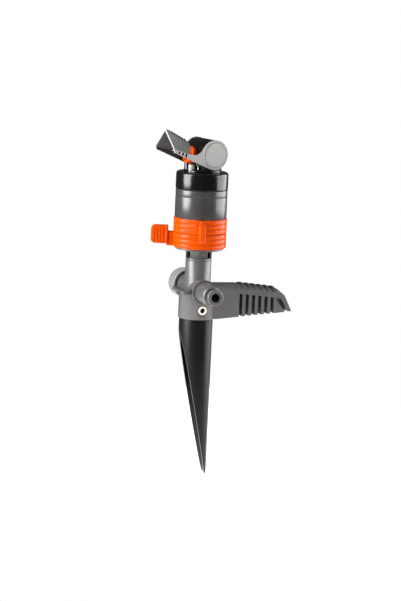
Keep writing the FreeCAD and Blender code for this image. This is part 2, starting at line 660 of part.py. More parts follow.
def make_sector_rings():
    """Two turning rings; the upper one has a flat facet with a raised tongue beside its tab."""
    lower = make_ring("lower", LOWER_RING, LOWER_RING + s.tab_lift)
    finish(lower, "lower_sector_ring", s.lower_tab_heading)
    top = UPPER_RING + s.ring_height
    upper = make_ring("upper", UPPER_RING, top - s.tab_lift - s.tab_height)
    face = s.ring_radius - s.facet_depth
    half = s.facet_width / 2
    turn = number_of(s.facet_heading)
    flat = box("facet_cut", (face, face + 4.0), (-half, half), (UPPER_RING - 1.0, top + 1.0), turn)
    middle = UPPER_RING + s.ring_height * 0.55
    outer = box("tongue_outer", (face - 0.45, face + 1.0), (-half, half - 3.2),
                (middle - 2.75, middle + 2.75), turn)
    inner = box("tongue_inner", (face - 0.5, face + 1.1), (-half - 0.5, half - 3.8),
                (middle - 2.15, middle + 2.15), turn)
    frame = without("tongue_groove", outer, [inner])
    finish(without("upper_part", upper, [flat, frame]), "upper_sector_ring", s.upper_tab_heading)


def make_housing():
    """Drive housing: journal for the rings below, drum above, roof with the bush seat."""
    r, journal = s.housing_radius, s.journal_radius
    profile = [(s.housing_bore, FOOT_TOP), (journal, FOOT_TOP), (journal, JOURNAL_TOP), (r, JOURNAL_TOP),
               (r, s.housing_top - 0.4), (r - 0.4, s.housing_top), (s.bush_radius, s.housing_top),
               (s.bush_radius, ROOF_BASE), (s.housing_bore, ROOF_BASE)]
    shell = turned("housing_turned", profile)
    holes = [cylinder(f"housing_hole_{i}", s.base_screw_radius, FOOT_TOP, FOOT_BASE + s.base_screw_length,
                      at=xy)
             for i, xy in enumerate(circle_points(s.base_screw_circle, 3))]
    finish(without("housing_part", shell, holes), "drive_housing")
    step, low, high = s.trim_step, s.housing_top, TRIM_TOP
    trim = [(s.bush_radius, low), (s.housing_radius - step, low), (s.housing_radius - step, low + step),
            (s.housing_radius, low + step * 2), (s.housing_radius, high - step),
            (s.housing_radius - step, high),
            (s.bush_radius, high)]
    finish(turned("trim_turned", trim), "trim_ring")


def make_bush():
    """Shaft bush in the roof, with the lip seal above it."""
    bore = s.shaft_radius + s.running_gap
    top = ROOF_BASE + s.bush_length
    bush = [(bore, ROOF_BASE), (s.bush_radius, ROOF_BASE), (s.bush_radius, top), (bore, top)]
    finish(turned("bush_turned", bush), "shaft_bush")
    lip = [(bore, top), (s.bush_radius, top), (s.bush_radius, top + s.seal_height),
           (bore + 1.0, top + s.seal_height),
           (bore, top + s.seal_height - 0.8)]
    finish(turned("seal_turned", lip), "shaft_seal")


def make_stator():
    """Fixed jet plate under the turbine, with the hub that the diverter turns on."""
    disc = cylinder("stator_disc", s.housing_bore, STATOR_BASE, STATOR_TOP)
    hub = cylinder("stator_boss", s.stator_hub, STATOR_TOP, DIVERTER_TOP + 0.3)
    slots = [box(f"stator_slot_{i}", (s.stator_hub + 4.0, s.housing_bore - 2.5),
                 (-s.jet_slot / 2, s.jet_slot / 2),
                 (STATOR_BASE, STATOR_TOP), 45.0 * i) for i in range(8)]
    bore = cylinder("stator_bore", s.axle_radius, STATOR_BASE, DIVERTER_TOP + 0.3)
    finish(without("stator_part", joined("stator_solids", [disc, hub]), slots + [bore]), "turbine_stator")


def make_diverter():
    """Reversing lever: a winged plate that swings over the jets."""
    plate = cylinder("diverter_plate", s.diverter_radius, DIVERTER_BASE, DIVERTER_TOP)
    slots = [box(f"diverter_slot_{i}", (s.stator_hub + 4.0, s.diverter_radius + 1.0),
                 (-s.jet_slot / 2, s.jet_slot / 2), (DIVERTER_BASE, DIVERTER_TOP),
                 45.0 * i) for i in range(8)]
    bore = cylinder("diverter_bore", s.stator_hub + s.running_gap, DIVERTER_BASE, DIVERTER_TOP)
    finish(without("diverter_part", plate, slots + [bore]), "flow_diverter")
    spring = doc.addObject("Part::Torus", "spring_bow")
    spring.Angle3 = 120
    bind(spring, Radius1=s.diverter_radius + 3.5, Radius2=s.wire_radius)
    place(spring, z=STATOR_TOP + s.wire_radius)
    finish(spring, "trip_spring")


# ---- gears ----

def tooth_points(teeth, module, backlash, addendum, dedendum):
    """Outline of an involute gear about the origin, with a tooth centred on +X."""
    pressure = math.radians(25.0)
    pitch = module * teeth / 2
    base = pitch * math.cos(pressure)
    tip = pitch + addendum * module
    root = pitch - dedendum * module
    half_at_pitch = math.pi / (2 * teeth) - backlash / (2 * pitch)

    def half_angle(radius):
        """Half the tooth's angle at a radius."""
        turn = math.acos(min(1.0, base / max(radius, base)))
        return half_at_pitch + (math.tan(pressure) - pressure) - (math.tan(turn) - turn)

    steps = 5
    radii = [root] + [max(base, root) + (tip - max(base, root)) * i / steps for i in range(steps + 1)]
    points = []
    for index in range(teeth):
        middle = 2 * math.pi * index / teeth
        flank = [(r, middle - half_angle(r)) for r in radii]
        flank += [(r, middle + half_angle(r)) for r in reversed(radii)]
        points += [Vector(r * math.cos(a), r * math.sin(a), 0) for r, a in flank]
    unique = [p for p, q in zip(points, points[1:] + points[:1]) if p.distanceToPoint(q) > 1e-6]
    return unique + [unique[0]]


def toothed(name, teeth, low, high, at=0.0, phase=0.0, backlash=0.1, addendum=0.85, dedendum=1.15):
    """A straight toothed prism at a distance along X, turned by a phase in degrees."""
    outline = tooth_points(int(number_of(teeth)), number_of(s.gear_module), backlash, addendum, dedendum)
    item = doc.addObject("Part::Feature", name)
    item.Shape = Part.Face(Part.makePolygon(outline)).extrude(Vector(0, 0, number_of(high - low)))
    place(item, at, 0.0, low, turn=phase)
    return item


def make_rotor():
    """Turbine wheel with its pinion."""
    top = s.rotor_base + s.blade_height
    solids = [cylinder("rotor_web", s.rotor_radius - 5.5, s.rotor_base + 1.0, top - 1.0),
              cylinder("rotor_boss", s.rotor_hub, s.rotor_base, top),
              cylinder("rotor_neck", s.rotor_hub / 2, top - 1.0, FIRST_MESH + 0.5),
              toothed("rotor_pinion", s.pinion_teeth, FIRST_MESH, FIRST_MESH + s.pinion_height)]
    for index in range(int(number_of(s.blade_count))):
        solids.append(box(f"rotor_blade_{index}", (s.rotor_radius - 7.0, s.rotor_radius), (-0.6, 0.6),
                          (s.rotor_base, top), 360.0 * index / number_of(s.blade_count)))
    bore = cylinder("rotor_bore", s.axle_radius + s.running_gap, s.rotor_base, FIRST_MESH + s.pinion_height)
    finish(without("rotor_part", joined("rotor_solids", solids), [bore]), "turbine_rotor")


def make_gear(name, label, wheel_base, at, pinion_top):
    """Wheel with a pinion above it, running on an axle at a distance along X."""
    half_pitch = 180.0 / number_of(s.wheel_teeth)
    wheel = toothed(f"{name}_wheel", s.wheel_teeth, wheel_base, wheel_base + s.wheel_height, at, half_pitch)
    pinion = toothed(f"{name}_pinion", s.pinion_teeth, wheel_base + s.wheel_height - 0.2, pinion_top, at)
    bore = cylinder(f"{name}_bore", s.axle_radius + s.running_gap, wheel_base, pinion_top, at=(at, 0.0))
    finish(without(f"{name}_part", joined(f"{name}_solids", [wheel, pinion]), [bore]), label)


def make_gears():
    """Reduction train from the rotor's pinion up to the output gear's inner teeth."""
    make_gear("first", "first_gear", FIRST_MESH + 0.4, AXLE_SPACING, SECOND_MESH + s.wheel_height + 0.6)
    make_gear("second", "second_gear", SECOND_MESH + 0.3, 0.0, THIRD_MESH + s.wheel_height + 0.6)
    make_gear("third", "third_gear", THIRD_MESH + 0.3, AXLE_SPACING, CARRIER_BASE - s.gear_clear)
    blank = cylinder("output_blank", s.output_rim, s.output_base, CARRIER_BASE)
    teeth = toothed("output_cut", s.output_teeth, s.output_base, CARRIER_BASE, backlash=-0.1,
                    addendum=1.15, dedendum=0.85)
    finish(without("output_part", blank, [teeth]), "output_gear")


def make_gear_plate():
    """Fixed plate that carries both axles above the turbine."""
    plate = cylinder("plate_disc", s.housing_bore, s.plate_base, PLATE_TOP)
    windows = [box(f"plate_window_{i}", (s.rotor_hub + 4.0, s.housing_bore - 3.0), (-2.0, 2.0),
                   (s.plate_base, PLATE_TOP), 60.0 + 60.0 * i) for i in range(5)]
    neck = cylinder("plate_neck", s.rotor_hub / 2 + s.moving_gap, s.plate_base, PLATE_TOP)
    seat = cylinder("plate_seat", s.axle_radius, s.plate_base, PLATE_TOP, at=(AXLE_SPACING, 0.0))
    finish(without("plate_part", plate, windows + [neck, seat]), "gear_plate")
    finish(cylinder("long_axle", s.axle_radius, STATOR_BASE, CARRIER_BASE - s.gear_clear), "turbine_axle")
    short = cylinder("short_axle", s.axle_radius, s.plate_base, CARRIER_BASE - s.gear_clear,
                     at=(AXLE_SPACING, 0.0))
    finish(short, "gear_axle")


def make_shaft():
    """Hollow output shaft with its carrier flange and water windows."""
    profile = [(s.shaft_bore, CARRIER_TOP), (s.shaft_bore, CAP_CEILING), (s.shaft_radius, CAP_CEILING),
               (s.shaft_radius, CARRIER_TOP), (s.output_rim, CARRIER_TOP), (s.output_rim, CARRIER_BASE),
               (0.0, CARRIER_BASE), (0.0, CARRIER_TOP)]
    shaft = turned("shaft_turned", profile)
    middle = CARRIER_TOP + s.window_radius + 1.5
    cuts = [cylinder("shaft_window_x", s.window_radius, -s.shaft_radius - 1.0, s.shaft_radius + 1.0, "X",
                     (0.0, middle)),
            cylinder("shaft_window_y", s.window_radius, -s.shaft_radius - 1.0, s.shaft_radius + 1.0, "Y",
                     (0.0, middle))]
    finish(without("shaft_part", shaft, cuts), "output_shaft")
    low = TRIM_TOP + s.rest_gap
    washer = [(s.shaft_radius, low), (s.washer_radius, low), (s.washer_radius, HUB_BASE),
              (s.shaft_radius, HUB_BASE)]
    finish(turned("washer_turned", washer), "thrust_washer")


# ---- turning head ----

def make_rotor_cap():
    """Black turning cap with a rounded top edge, a hub on the shaft and a stepped top."""
    r, wall, edge = s.cap_outer, s.cap_wall, s.cap_edge
    curve = [(r - edge * (1.0 - math.cos(a)), CAP_TOP - edge + edge * math.sin(a) * 0.9) for a in
             (0.0, 0.4, 0.8, 1.2, 1.5)]
    hub = s.shaft_radius + 3.0
    profile = [(s.shaft_bore, CAP_TOP), (s.shaft_bore, CAP_CEILING), (s.shaft_radius, CAP_CEILING),
               (s.shaft_radius, HUB_BASE), (hub, HUB_BASE), (hub, CAP_CEILING), (r - wall, CAP_CEILING),
               (r - wall, CAP_BASE), (r - 0.5, CAP_BASE), (r, CAP_BASE + 0.5)]
    profile += curve + [(r - edge - 1.2, CAP_TOP - 0.3), (r - edge - 1.6, CAP_TOP)]
    shell = turned("rotor_cap_turned", profile)
    holes = [cylinder(f"cap_hole_{i}", s.head_screw_radius, CAP_CEILING, CAP_TOP, at=xy)
             for i, xy in enumerate(circle_points(s.head_screw_circle, 3))]
    finish(without("rotor_cap_part", shell, holes), "rotor_cap", s.head_heading)


def nozzle_cylinder(name, radius, low, high):
    """A cylinder along the tilted jet axis, measured from the nozzle's centre."""
    item = doc.addObject("Part::Cylinder", name)
    bind(item, Radius=radius, Height=high - low)
    tilt = s.nozzle_tilt
    x = s.nozzle_forward + cosine(tilt) * low
    z = PIVOT_HEIGHT - s.nozzle_drop + sine(tilt) * low
    return place(item, x, 0.0, z, Vector(0, 1, 0), 90.0 - tilt)


def make_turret():
    """Black head: round foot, pedestal, horizontal drum and nozzle socket."""
    foot_top = CAP_TOP + s.turret_foot
    r = s.turret_radius
    foot = turned("turret_foot_turned",
                  [(0.0, CAP_TOP), (r, CAP_TOP), (r, foot_top - 1.2), (r - 1.2, foot_top),
                                         (0.0, foot_top)])
    half = s.drum_width / 2
    pedestal = box("turret_pedestal", (BEHIND - s.drum_radius * 0.8, s.drum_radius * 0.62),
                   (-half + 3.5, half - 3.5),
                   (CAP_TOP, PIVOT_HEIGHT))
    drum = cylinder("turret_drum", s.drum_radius, -half, half, "Y", (0.0, 0.0))
    place(drum, BEHIND, -half, PIVOT_HEIGHT, Vector(1, 0, 0), -90)
    post = cylinder("turret_post", s.post_radius, CAP_TOP, PIVOT_HEIGHT - 6.5,
                    at=(s.post_forward, -s.post_side))
    socket = nozzle_cylinder("turret_socket", s.nozzle_seat, -14.0, -s.nozzle_length / 2)
    cuts = [cylinder("turret_channel", s.shaft_bore, CAP_TOP, PIVOT_HEIGHT - 6.0),
            nozzle_cylinder("turret_jet", s.nozzle_bore, -15.0, -s.nozzle_length / 2),
            nozzle_cylinder("turret_seat", s.nozzle_radius, -s.nozzle_length / 2, s.nozzle_length),
            cylinder("turret_pipe_hole", s.standpipe_radius, CAP_TOP, PIVOT_HEIGHT,
                     at=(s.standpipe_forward, s.standpipe_side))]
    for side, low, high in (("minus", -half, -half + s.pin_depth), ("plus", half - s.pin_depth, half)):
        pin = cylinder(f"turret_pin_{side}", s.pin_shank, low, high, "Y", (0.0, 0.0))
        cuts.append(place(pin, BEHIND, low, PIVOT_HEIGHT, Vector(1, 0, 0), -90))
    cuts += [cylinder(f"turret_hole_{i}", s.head_screw_radius, CAP_TOP, foot_top - 0.2, at=xy)
             for i, xy in enumerate(circle_points(s.head_screw_circle, 3))]
    finish(without("turret_part", joined("turret_solids", [foot, pedestal, drum, post, socket]), cuts),
           "turret", s.head_heading)


def make_head_screws():
    """Three screws from inside the cap into the turret's foot."""
    screws = []
    tip = CAP_TOP + s.turret_foot - 0.2
    for index, xy in enumerate(circle_points(s.head_screw_circle, 3)):
        shank = cylinder(f"head_shank_{index}", s.head_screw_radius, CAP_CEILING, tip, at=xy)
        head = cylinder(f"head_head_{index}", s.head_screw_head, CAP_CEILING - 2.0, CAP_CEILING, at=xy)
        screws.append(joined(f"head_screw_{index}", [shank, head]))
    finish(group("head_screw_set", screws), "turret_screws", s.head_heading)


def make_nozzle():
    """Orange nozzle ring, pale standpipe and the bent wire beside the turret."""
    half = s.nozzle_length / 2
    ring = nozzle_cylinder("nozzle_blank", s.nozzle_radius, -half, half)
    bore = nozzle_cylinder("nozzle_bore_cut", s.nozzle_bore, -half, half)
    dish = nozzle_cylinder("nozzle_dish", s.nozzle_radius - 2.2, half - 1.8, half)
    finish(without("nozzle_part", ring, [bore, dish]), "nozzle_tip", s.head_heading)
    pipe = cylinder("standpipe", s.standpipe_radius, CAP_TOP, CAP_TOP + s.standpipe_height,
                    at=(s.standpipe_forward, s.standpipe_side))
    finish(group("standpipe_part", [pipe]), "nozzle_pipe", s.head_heading)
    low = CAP_TOP + s.turret_foot
    spot = (s.wire_forward, s.wire_side)
    stem = cylinder("wire_stem", s.wire_radius, low, low + s.wire_length, at=spot)
    arms = []
    for index, lean in enumerate((-38.0, 30.0)):
        arm = doc.addObject("Part::Cylinder", f"wire_arm_{index}")
        bind(arm, Radius=s.wire_radius, Height=s.wire_length * 0.9)
        arms.append(place(arm, spot[0], spot[1], low + s.wire_length * 0.8, Vector(0, 1, 0), lean))
    finish(joined("wire_part", [stem] + arms), "catch_wire", s.head_heading)


def make_pins():
    """Two pivot pins with broad round heads."""
    start = s.drum_width / 2 - s.pin_depth
    face = DISC_OUTER - s.pin_recess + s.running_gap
    rim = DISC_OUTER + s.pin_head_rise
    profile = [(0.0, start), (s.pin_shank, start), (s.pin_shank, s.drum_width / 2),
               (s.pin_journal, s.drum_width / 2),
               (s.pin_journal, face), (s.pin_head, face), (s.pin_head, rim - 0.5), (s.pin_head - 0.5, rim),
               (0.0, rim)]
    pins = []
    for side, turn in (("minus", 90), ("plus", -90)):
        pin = turned(f"pin_{side}", profile)
        pins.append(place(pin, BEHIND, 0.0, PIVOT_HEIGHT, Vector(1, 0, 0), turn))
    finish(group("pin_set", pins), "hood_pins", s.head_heading)


def hood_line(x, rear, front):
    """Height above the pivot of a straight hood edge at a distance forward."""
    return rear + (front - rear) * ((number_of(x) - number_of(s.hood_rear))
                                    / (number_of(s.hood_front) - number_of(s.hood_rear)))


def hood_section(x, inset, ridge_inset, base_inset):
    """Gable cross section of the hood, inset for the hollow."""
    half = DISC_OUTER - inset
    base = PIVOT_HEIGHT + hood_line(x, s.rear_base, s.front_base) - base_inset
    eave = PIVOT_HEIGHT + hood_line(x, s.rear_eave, s.front_eave) - inset * 0.4
    ridge = PIVOT_HEIGHT + hood_line(x, s.rear_ridge, s.front_ridge) - ridge_inset
    return [(-half, base), (half, base), (half, eave), (0.0, ridge), (-half, eave)]


def make_hood():
    """Deflector hood: gable roof with open front and underside, two arms and two discs."""
    front, rear = s.hood_front, s.hood_rear
    shell = lofted("hood_shell",
                   [(rear, hood_section(rear, 0.0, 0.0, 0.0)), (front, hood_section(front, 0.0, 0.0, 0.0))])
    hollow = lofted("hood_hollow",
                    [(x, hood_section(x, s.hood_wall, 2.9, 3.0)) for x in (rear - 0.5, front + 0.5)])
    tent = without("hood_tent", shell, [hollow])
    slope = math.atan((number_of(s.front_eave) - number_of(s.rear_eave)) / number_of(front - rear))
    join = rear + 6.5
    outline = [(join, PIVOT_HEIGHT + hood_line(join, s.rear_base, s.front_base)),
               (join, PIVOT_HEIGHT + hood_line(join, s.rear_eave, s.front_eave)),
               (BEHIND + s.disc_radius * 0.84, PIVOT_HEIGHT + s.disc_radius * 0.54), (BEHIND, PIVOT_HEIGHT),
               (BEHIND + s.disc_radius * 0.385, PIVOT_HEIGHT - s.disc_radius * 0.923)]
    solids = [tent]
    cuts = []
    scoop = fillet_centre(slope)
    for side, low, high in (("minus", -DISC_OUTER, -DISC_INNER), ("plus", DISC_INNER, DISC_OUTER)):
        plate = padded(f"hood_arm_{side}", outline, s.disc_plate, "XZ_Plane", offset=-high)
        place(plate)
        groove = cylinder(f"hood_scoop_{side}", s.fillet_radius, low - 1.0, high + 1.0, "Y", (0.0, 0.0))
        place(groove, scoop[0], low - 1.0, scoop[1], Vector(1, 0, 0), -90)
        disc = cylinder(f"hood_disc_{side}", s.disc_radius, low, high, "Y", (0.0, 0.0))
        place(disc, BEHIND, low, PIVOT_HEIGHT, Vector(1, 0, 0), -90)
        solids += [without(f"hood_plate_{side}", plate, [groove]), disc]
        hole = cylinder(f"hood_hole_{side}", s.pin_journal + s.running_gap, low, high, "Y", (0.0, 0.0))
        cuts.append(place(hole, BEHIND, low, PIVOT_HEIGHT, Vector(1, 0, 0), -90))
        outer = (low, low + s.pin_recess) if side == "minus" else (high - s.pin_recess, high)
        recess = cylinder(f"hood_recess_{side}", s.pin_head + s.moving_gap, outer[0], outer[1], "Y",
                          (0.0, 0.0))
        cuts.append(place(recess, BEHIND, outer[0], PIVOT_HEIGHT, Vector(1, 0, 0), -90))
    solids += [hood_tooth(index) for index in range(int(number_of(s.tooth_count)))]
    cuts += [hood_slot(index) for index in range(3)]
    finish(without("hood_part", joined("hood_solids", solids), cuts), "deflector_hood", s.head_heading)


def fillet_centre(slope):
    """Centre of the round that blends the disc into the arm's top edge."""
    round_radius, disc = number_of(s.fillet_radius), number_of(s.disc_radius)
    start_x = number_of(s.hood_rear) - number_of(BEHIND) - round_radius * math.sin(slope)
    start_z = number_of(s.rear_eave) + round_radius * math.cos(slope)
    along = start_x * math.cos(slope) + start_z * math.sin(slope)
    gap = start_x ** 2 + start_z ** 2 - (round_radius + disc) ** 2
    shift = -along + math.sqrt(along ** 2 - gap)
    return (BEHIND + (start_x + shift * math.cos(slope)), PIVOT_HEIGHT + (start_z + shift * math.sin(slope)))


def hood_tooth(index):
    """One short grip tooth across the ridge."""
    x = s.hood_front - s.tooth_start - s.tooth_pitch * float(index)
    ridge = PIVOT_HEIGHT + hood_line(x, s.rear_ridge, s.front_ridge)
    return box(f"hood_tooth_{index}", (x - 0.7, x + 0.7), (-3.2, 3.2),
               (ridge - 3.4, ridge + s.tooth_height * 0.4))


def hood_slot(index):
    """One narrow slot through both arms near the front."""
    x = s.hood_front - s.slot_start - s.slot_pitch * float(index)
    middle = PIVOT_HEIGHT + hood_line(x, s.rear_base, s.front_base) * 0.45 + hood_line(x, s.rear_eave,
                                                                                       s.front_eave) * 0.55
    half = 0.9 + 0.45 * index
    return box(f"hood_slot_{index}", (x - s.slot_width / 2, x + s.slot_width / 2),
               (-DISC_OUTER - 1.0, DISC_OUTER + 1.0),
               (middle - half, middle + half))


# ---- build, check and write ----

def check_document():
    """Stop if any object failed or any piece is not a valid solid."""
    for item in doc.Objects:
        if "Invalid" in item.State or "Error" in item.State:
            raise RuntimeError(f"{item.Name} failed: {item.State}")
    for item in pieces:
        if item.Shape.isNull() or not item.Shape.isValid() or not item.Shape.Solids:
            raise RuntimeError(f"{item.Label} is not a valid solid")


def write_pieces():
    """Write one file for each piece."""
    os.makedirs("parts", exist_ok=True)
    for item in pieces:
        item.Shape.exportStep(os.path.join("parts", item.Label + ".step"))
        print(f"{item.Label}: {len(item.Shape.Solids)} solid, {item.Shape.Volume / 1000:.2f} cm3")


make_spike()
make_stand()
make_rivet()
make_connector()
make_filter()
make_end_cap()
make_housing_base()
make_base_screws()
make_sector_rings()
make_housing()
make_bush()
make_stator()
make_diverter()
make_rotor()
make_gears()
make_gear_plate()
make_shaft()
make_rotor_cap()
make_turret()
make_head_screws()
make_nozzle()
make_pins()
make_hood()
doc.recompute()
check_document()
write_pieces()
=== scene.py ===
# %% [markdown]
# # A garden sprinkler, finished in Blender
# The frame loads the imported model: every moulding, seal, gear and screw at its real size and place.
# This file adds what the frame leaves open: the finish of each plastic and metal, a few pieces
# modelled more finely, and a small studio round the sprinkler.

# %% Load the frame
import json
import math

import bmesh
import bpy
from mathutils import Matrix, Vector


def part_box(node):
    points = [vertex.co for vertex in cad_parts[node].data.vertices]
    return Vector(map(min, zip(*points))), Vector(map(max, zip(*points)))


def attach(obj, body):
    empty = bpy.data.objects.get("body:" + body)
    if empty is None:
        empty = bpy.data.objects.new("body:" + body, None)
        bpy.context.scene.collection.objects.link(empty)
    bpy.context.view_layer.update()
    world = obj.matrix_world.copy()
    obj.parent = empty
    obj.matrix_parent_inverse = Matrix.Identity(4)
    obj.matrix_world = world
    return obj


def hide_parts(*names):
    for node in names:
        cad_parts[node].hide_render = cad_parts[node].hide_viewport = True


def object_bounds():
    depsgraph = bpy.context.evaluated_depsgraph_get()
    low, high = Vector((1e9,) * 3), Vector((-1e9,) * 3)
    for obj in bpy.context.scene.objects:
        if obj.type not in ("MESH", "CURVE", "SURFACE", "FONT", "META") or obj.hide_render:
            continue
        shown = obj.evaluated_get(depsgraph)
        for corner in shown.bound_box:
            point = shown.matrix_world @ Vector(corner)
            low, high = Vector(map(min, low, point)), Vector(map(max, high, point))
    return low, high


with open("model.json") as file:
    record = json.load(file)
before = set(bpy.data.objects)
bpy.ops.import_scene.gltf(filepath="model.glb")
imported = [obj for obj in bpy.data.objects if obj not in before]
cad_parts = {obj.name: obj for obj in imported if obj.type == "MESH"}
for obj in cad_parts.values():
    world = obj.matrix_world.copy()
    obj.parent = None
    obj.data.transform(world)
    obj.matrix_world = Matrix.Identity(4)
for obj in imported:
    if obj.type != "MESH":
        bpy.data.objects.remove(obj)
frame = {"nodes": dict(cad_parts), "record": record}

CAD_BOX = [list(corner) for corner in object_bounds()]
MM = 0.001
nodes = frame["nodes"]

# %% [markdown]
# ## The camera
# A long lens from well back keeps the tall, narrow sprinkler free of distortion. The camera looks
# from a little left of the hose connector and slightly down, and is rolled so that the sprinkler
# leans as it does when pushed into soft ground by hand.

# %% Camera
CAMERA_AZIMUTH = math.radians(-20.8)
CAMERA_HEIGHT = math.radians(10.0)
CAMERA_ROLL = math.radians(2.6)
CAMERA_DISTANCE = 2.3
PICTURE_HEIGHT = 0.631
AIM_HEIGHT = 17.8 * MM
AIM_SIDE = 4.0 * MM

back = Vector((math.sin(CAMERA_AZIMUTH) * math.cos(CAMERA_HEIGHT),
               -math.cos(CAMERA_AZIMUTH) * math.cos(CAMERA_HEIGHT), math.sin(CAMERA_HEIGHT)))
side = Vector((math.cos(CAMERA_AZIMUTH), math.sin(CAMERA_AZIMUTH), 0))
target = Vector((0, 0, AIM_HEIGHT)) + side * AIM_SIDE

bpy.ops.object.camera_add(location=target + back * CAMERA_DISTANCE)
camera = bpy.context.object
camera.name = "studio_camera"
camera.data.lens = camera.data.sensor_width / 2 / (PICTURE_HEIGHT / 2 / CAMERA_DISTANCE)
camera.data.clip_end = 50
turn = (-back).to_track_quat("-Z", "Y") @ Matrix.Rotation(CAMERA_ROLL, 3, "Z").to_quaternion()
camera.rotation_mode = "QUATERNION"
camera.rotation_quaternion = turn
bpy.context.scene.camera = camera
print("lens", round(camera.data.lens, 1), "mm")

# %% [markdown]
# ## The studio
# Black gloss shows nothing of its own, only what stands round it. So the lights are placed by where
# their reflections should fall on an upright cylinder: a narrow, bright strip on the left and a
# broad, softer panel on the right, with the dark gap between them left dark. Light that strikes a
# cylinder at a share s of its radius comes back from an angle of 2 asin(s). The floor comes first:
# a pale disc that glows a little, so that it meets the white backdrop without a dark rim.

# %% Floor and backdrop
FLOOR_DROP = 4.0 * MM
FLOOR_RADIUS = 0.45
FLOOR_GLOW = 0.45
CAMERA_TURN = math.atan2(back.y, back.x)
LIGHT_MIDDLE = Vector((0, 0, 0.02))


def pale_surface(name, colour, roughness, glow):
    """A plain pale finish for what isn't part of the sprinkler."""
    material = bpy.data.materials.new(name)
    material.use_nodes = True
    shader = material.node_tree.nodes["Principled BSDF"]
    shader.inputs["Base Color"].default_value = (*colour, 1)
    shader.inputs["Roughness"].default_value = roughness
    shader.inputs["Emission Color"].default_value = (1, 1, 1, 1)
    shader.inputs["Emission Strength"].default_value = glow
    return material


floor_level = CAD_BOX[0][2] - FLOOR_DROP
bpy.ops.mesh.primitive_circle_add(vertices=96, radius=FLOOR_RADIUS, fill_type="NGON",
                                  location=(0, 0, floor_level))
floor = bpy.context.object
floor.name = "studio_floor"
floor.data.materials.append(pale_surface("pale_floor", (0.92, 0.92, 0.92), 0.9, FLOOR_GLOW))
print("floor at", round(floor_level, 4), "m")

# %% [markdown]
# ## The world's light
# The backdrop has to be white, but a white world would light the sprinkler from every side and wash
# out the gloss. A Light Path node in the world tells the two uses apart: the camera sees it at full
# strength, and everything else gets only a faint share of it.

# %% World light
WORLD_GLOW = 0.08
WORLD_SEEN = 1.0
world = bpy.data.worlds.new("studio_world")
bpy.context.scene.world = world
world.use_nodes = True
sky = world.node_tree.nodes["Background"]
rays = world.node_tree.nodes.new("ShaderNodeLightPath")
glow = world.node_tree.nodes.new("ShaderNodeMapRange")
glow.inputs["To Min"].default_value = WORLD_GLOW
glow.inputs["To Max"].default_value = WORLD_SEEN
world.node_tree.links.new(rays.outputs["Is Camera Ray"], glow.inputs["Value"])
world.node_tree.links.new(glow.outputs["Result"], sky.inputs["Strength"])
sky.inputs["Color"].default_value = (1, 1, 1, 1)
print("world glows at", WORLD_GLOW, "and is seen at", WORLD_SEEN)

# %% [markdown]
# ## The panels
# Each panel is a soft rectangle turned to the middle of the sprinkler. The front fill is kept out of
# mirror reflections: it lifts the flat sides of the handle and hood, and adds no third stripe to the
# gloss of the round parts.


# %% Lights
def add_panel(name, angle, distance, size, power, height, mirrored=True):
    """A soft panel at an angle from the camera's direction, facing the sprinkler."""
    around = CAMERA_TURN + math.radians(angle)
    outward = Vector((math.cos(around), math.sin(around), 0))
    place = LIGHT_MIDDLE + outward * distance + Vector((0, 0, height))
    bpy.ops.object.light_add(type="AREA", location=place)
    lamp = bpy.context.object
    lamp.name = name
    lamp.data.shape = "RECTANGLE"
    lamp.data.size, lamp.data.size_y = size
    lamp.data.energy = power
    lamp.visible_glossy = mirrored
    lamp.rotation_mode = "QUATERNION"
    lamp.rotation_quaternion = (LIGHT_MIDDLE - place).to_track_quat("-Z", "Y")
    print(name, "at", round(math.degrees(around)), "degrees")


add_panel("left_strip", -68, 0.9, (0.6, 1.06), 28, 0.36)
add_panel("right_panel", 102, 1.1, (1.4, 1.2), 30, 0.3)
add_panel("front_fill", 38, 1.6, (0.9, 1.0), 10, 0.2, mirrored=False)
bpy.context.scene.view_settings.view_transform = "Standard"

# %% [markdown]
# ## Shader sums
# A finish is mostly arithmetic: a noise scaled, lifted and mixed into roughness or bump. `Wire`
# wraps one socket so that such a sum reads as a sum, and `Finish` adds any other node by its type.

# %% Wire and Finish
class Wire:
    """A shader socket that takes part in Python arithmetic."""

    def __init__(self, finish, socket):
        self.finish = finish
        self.socket = socket

    def __add__(self, other):
        return self.finish.sum("ADD", self, other)

    def __mul__(self, other):
        return self.finish.sum("MULTIPLY", self, other)

    __radd__ = __add__
    __rmul__ = __mul__


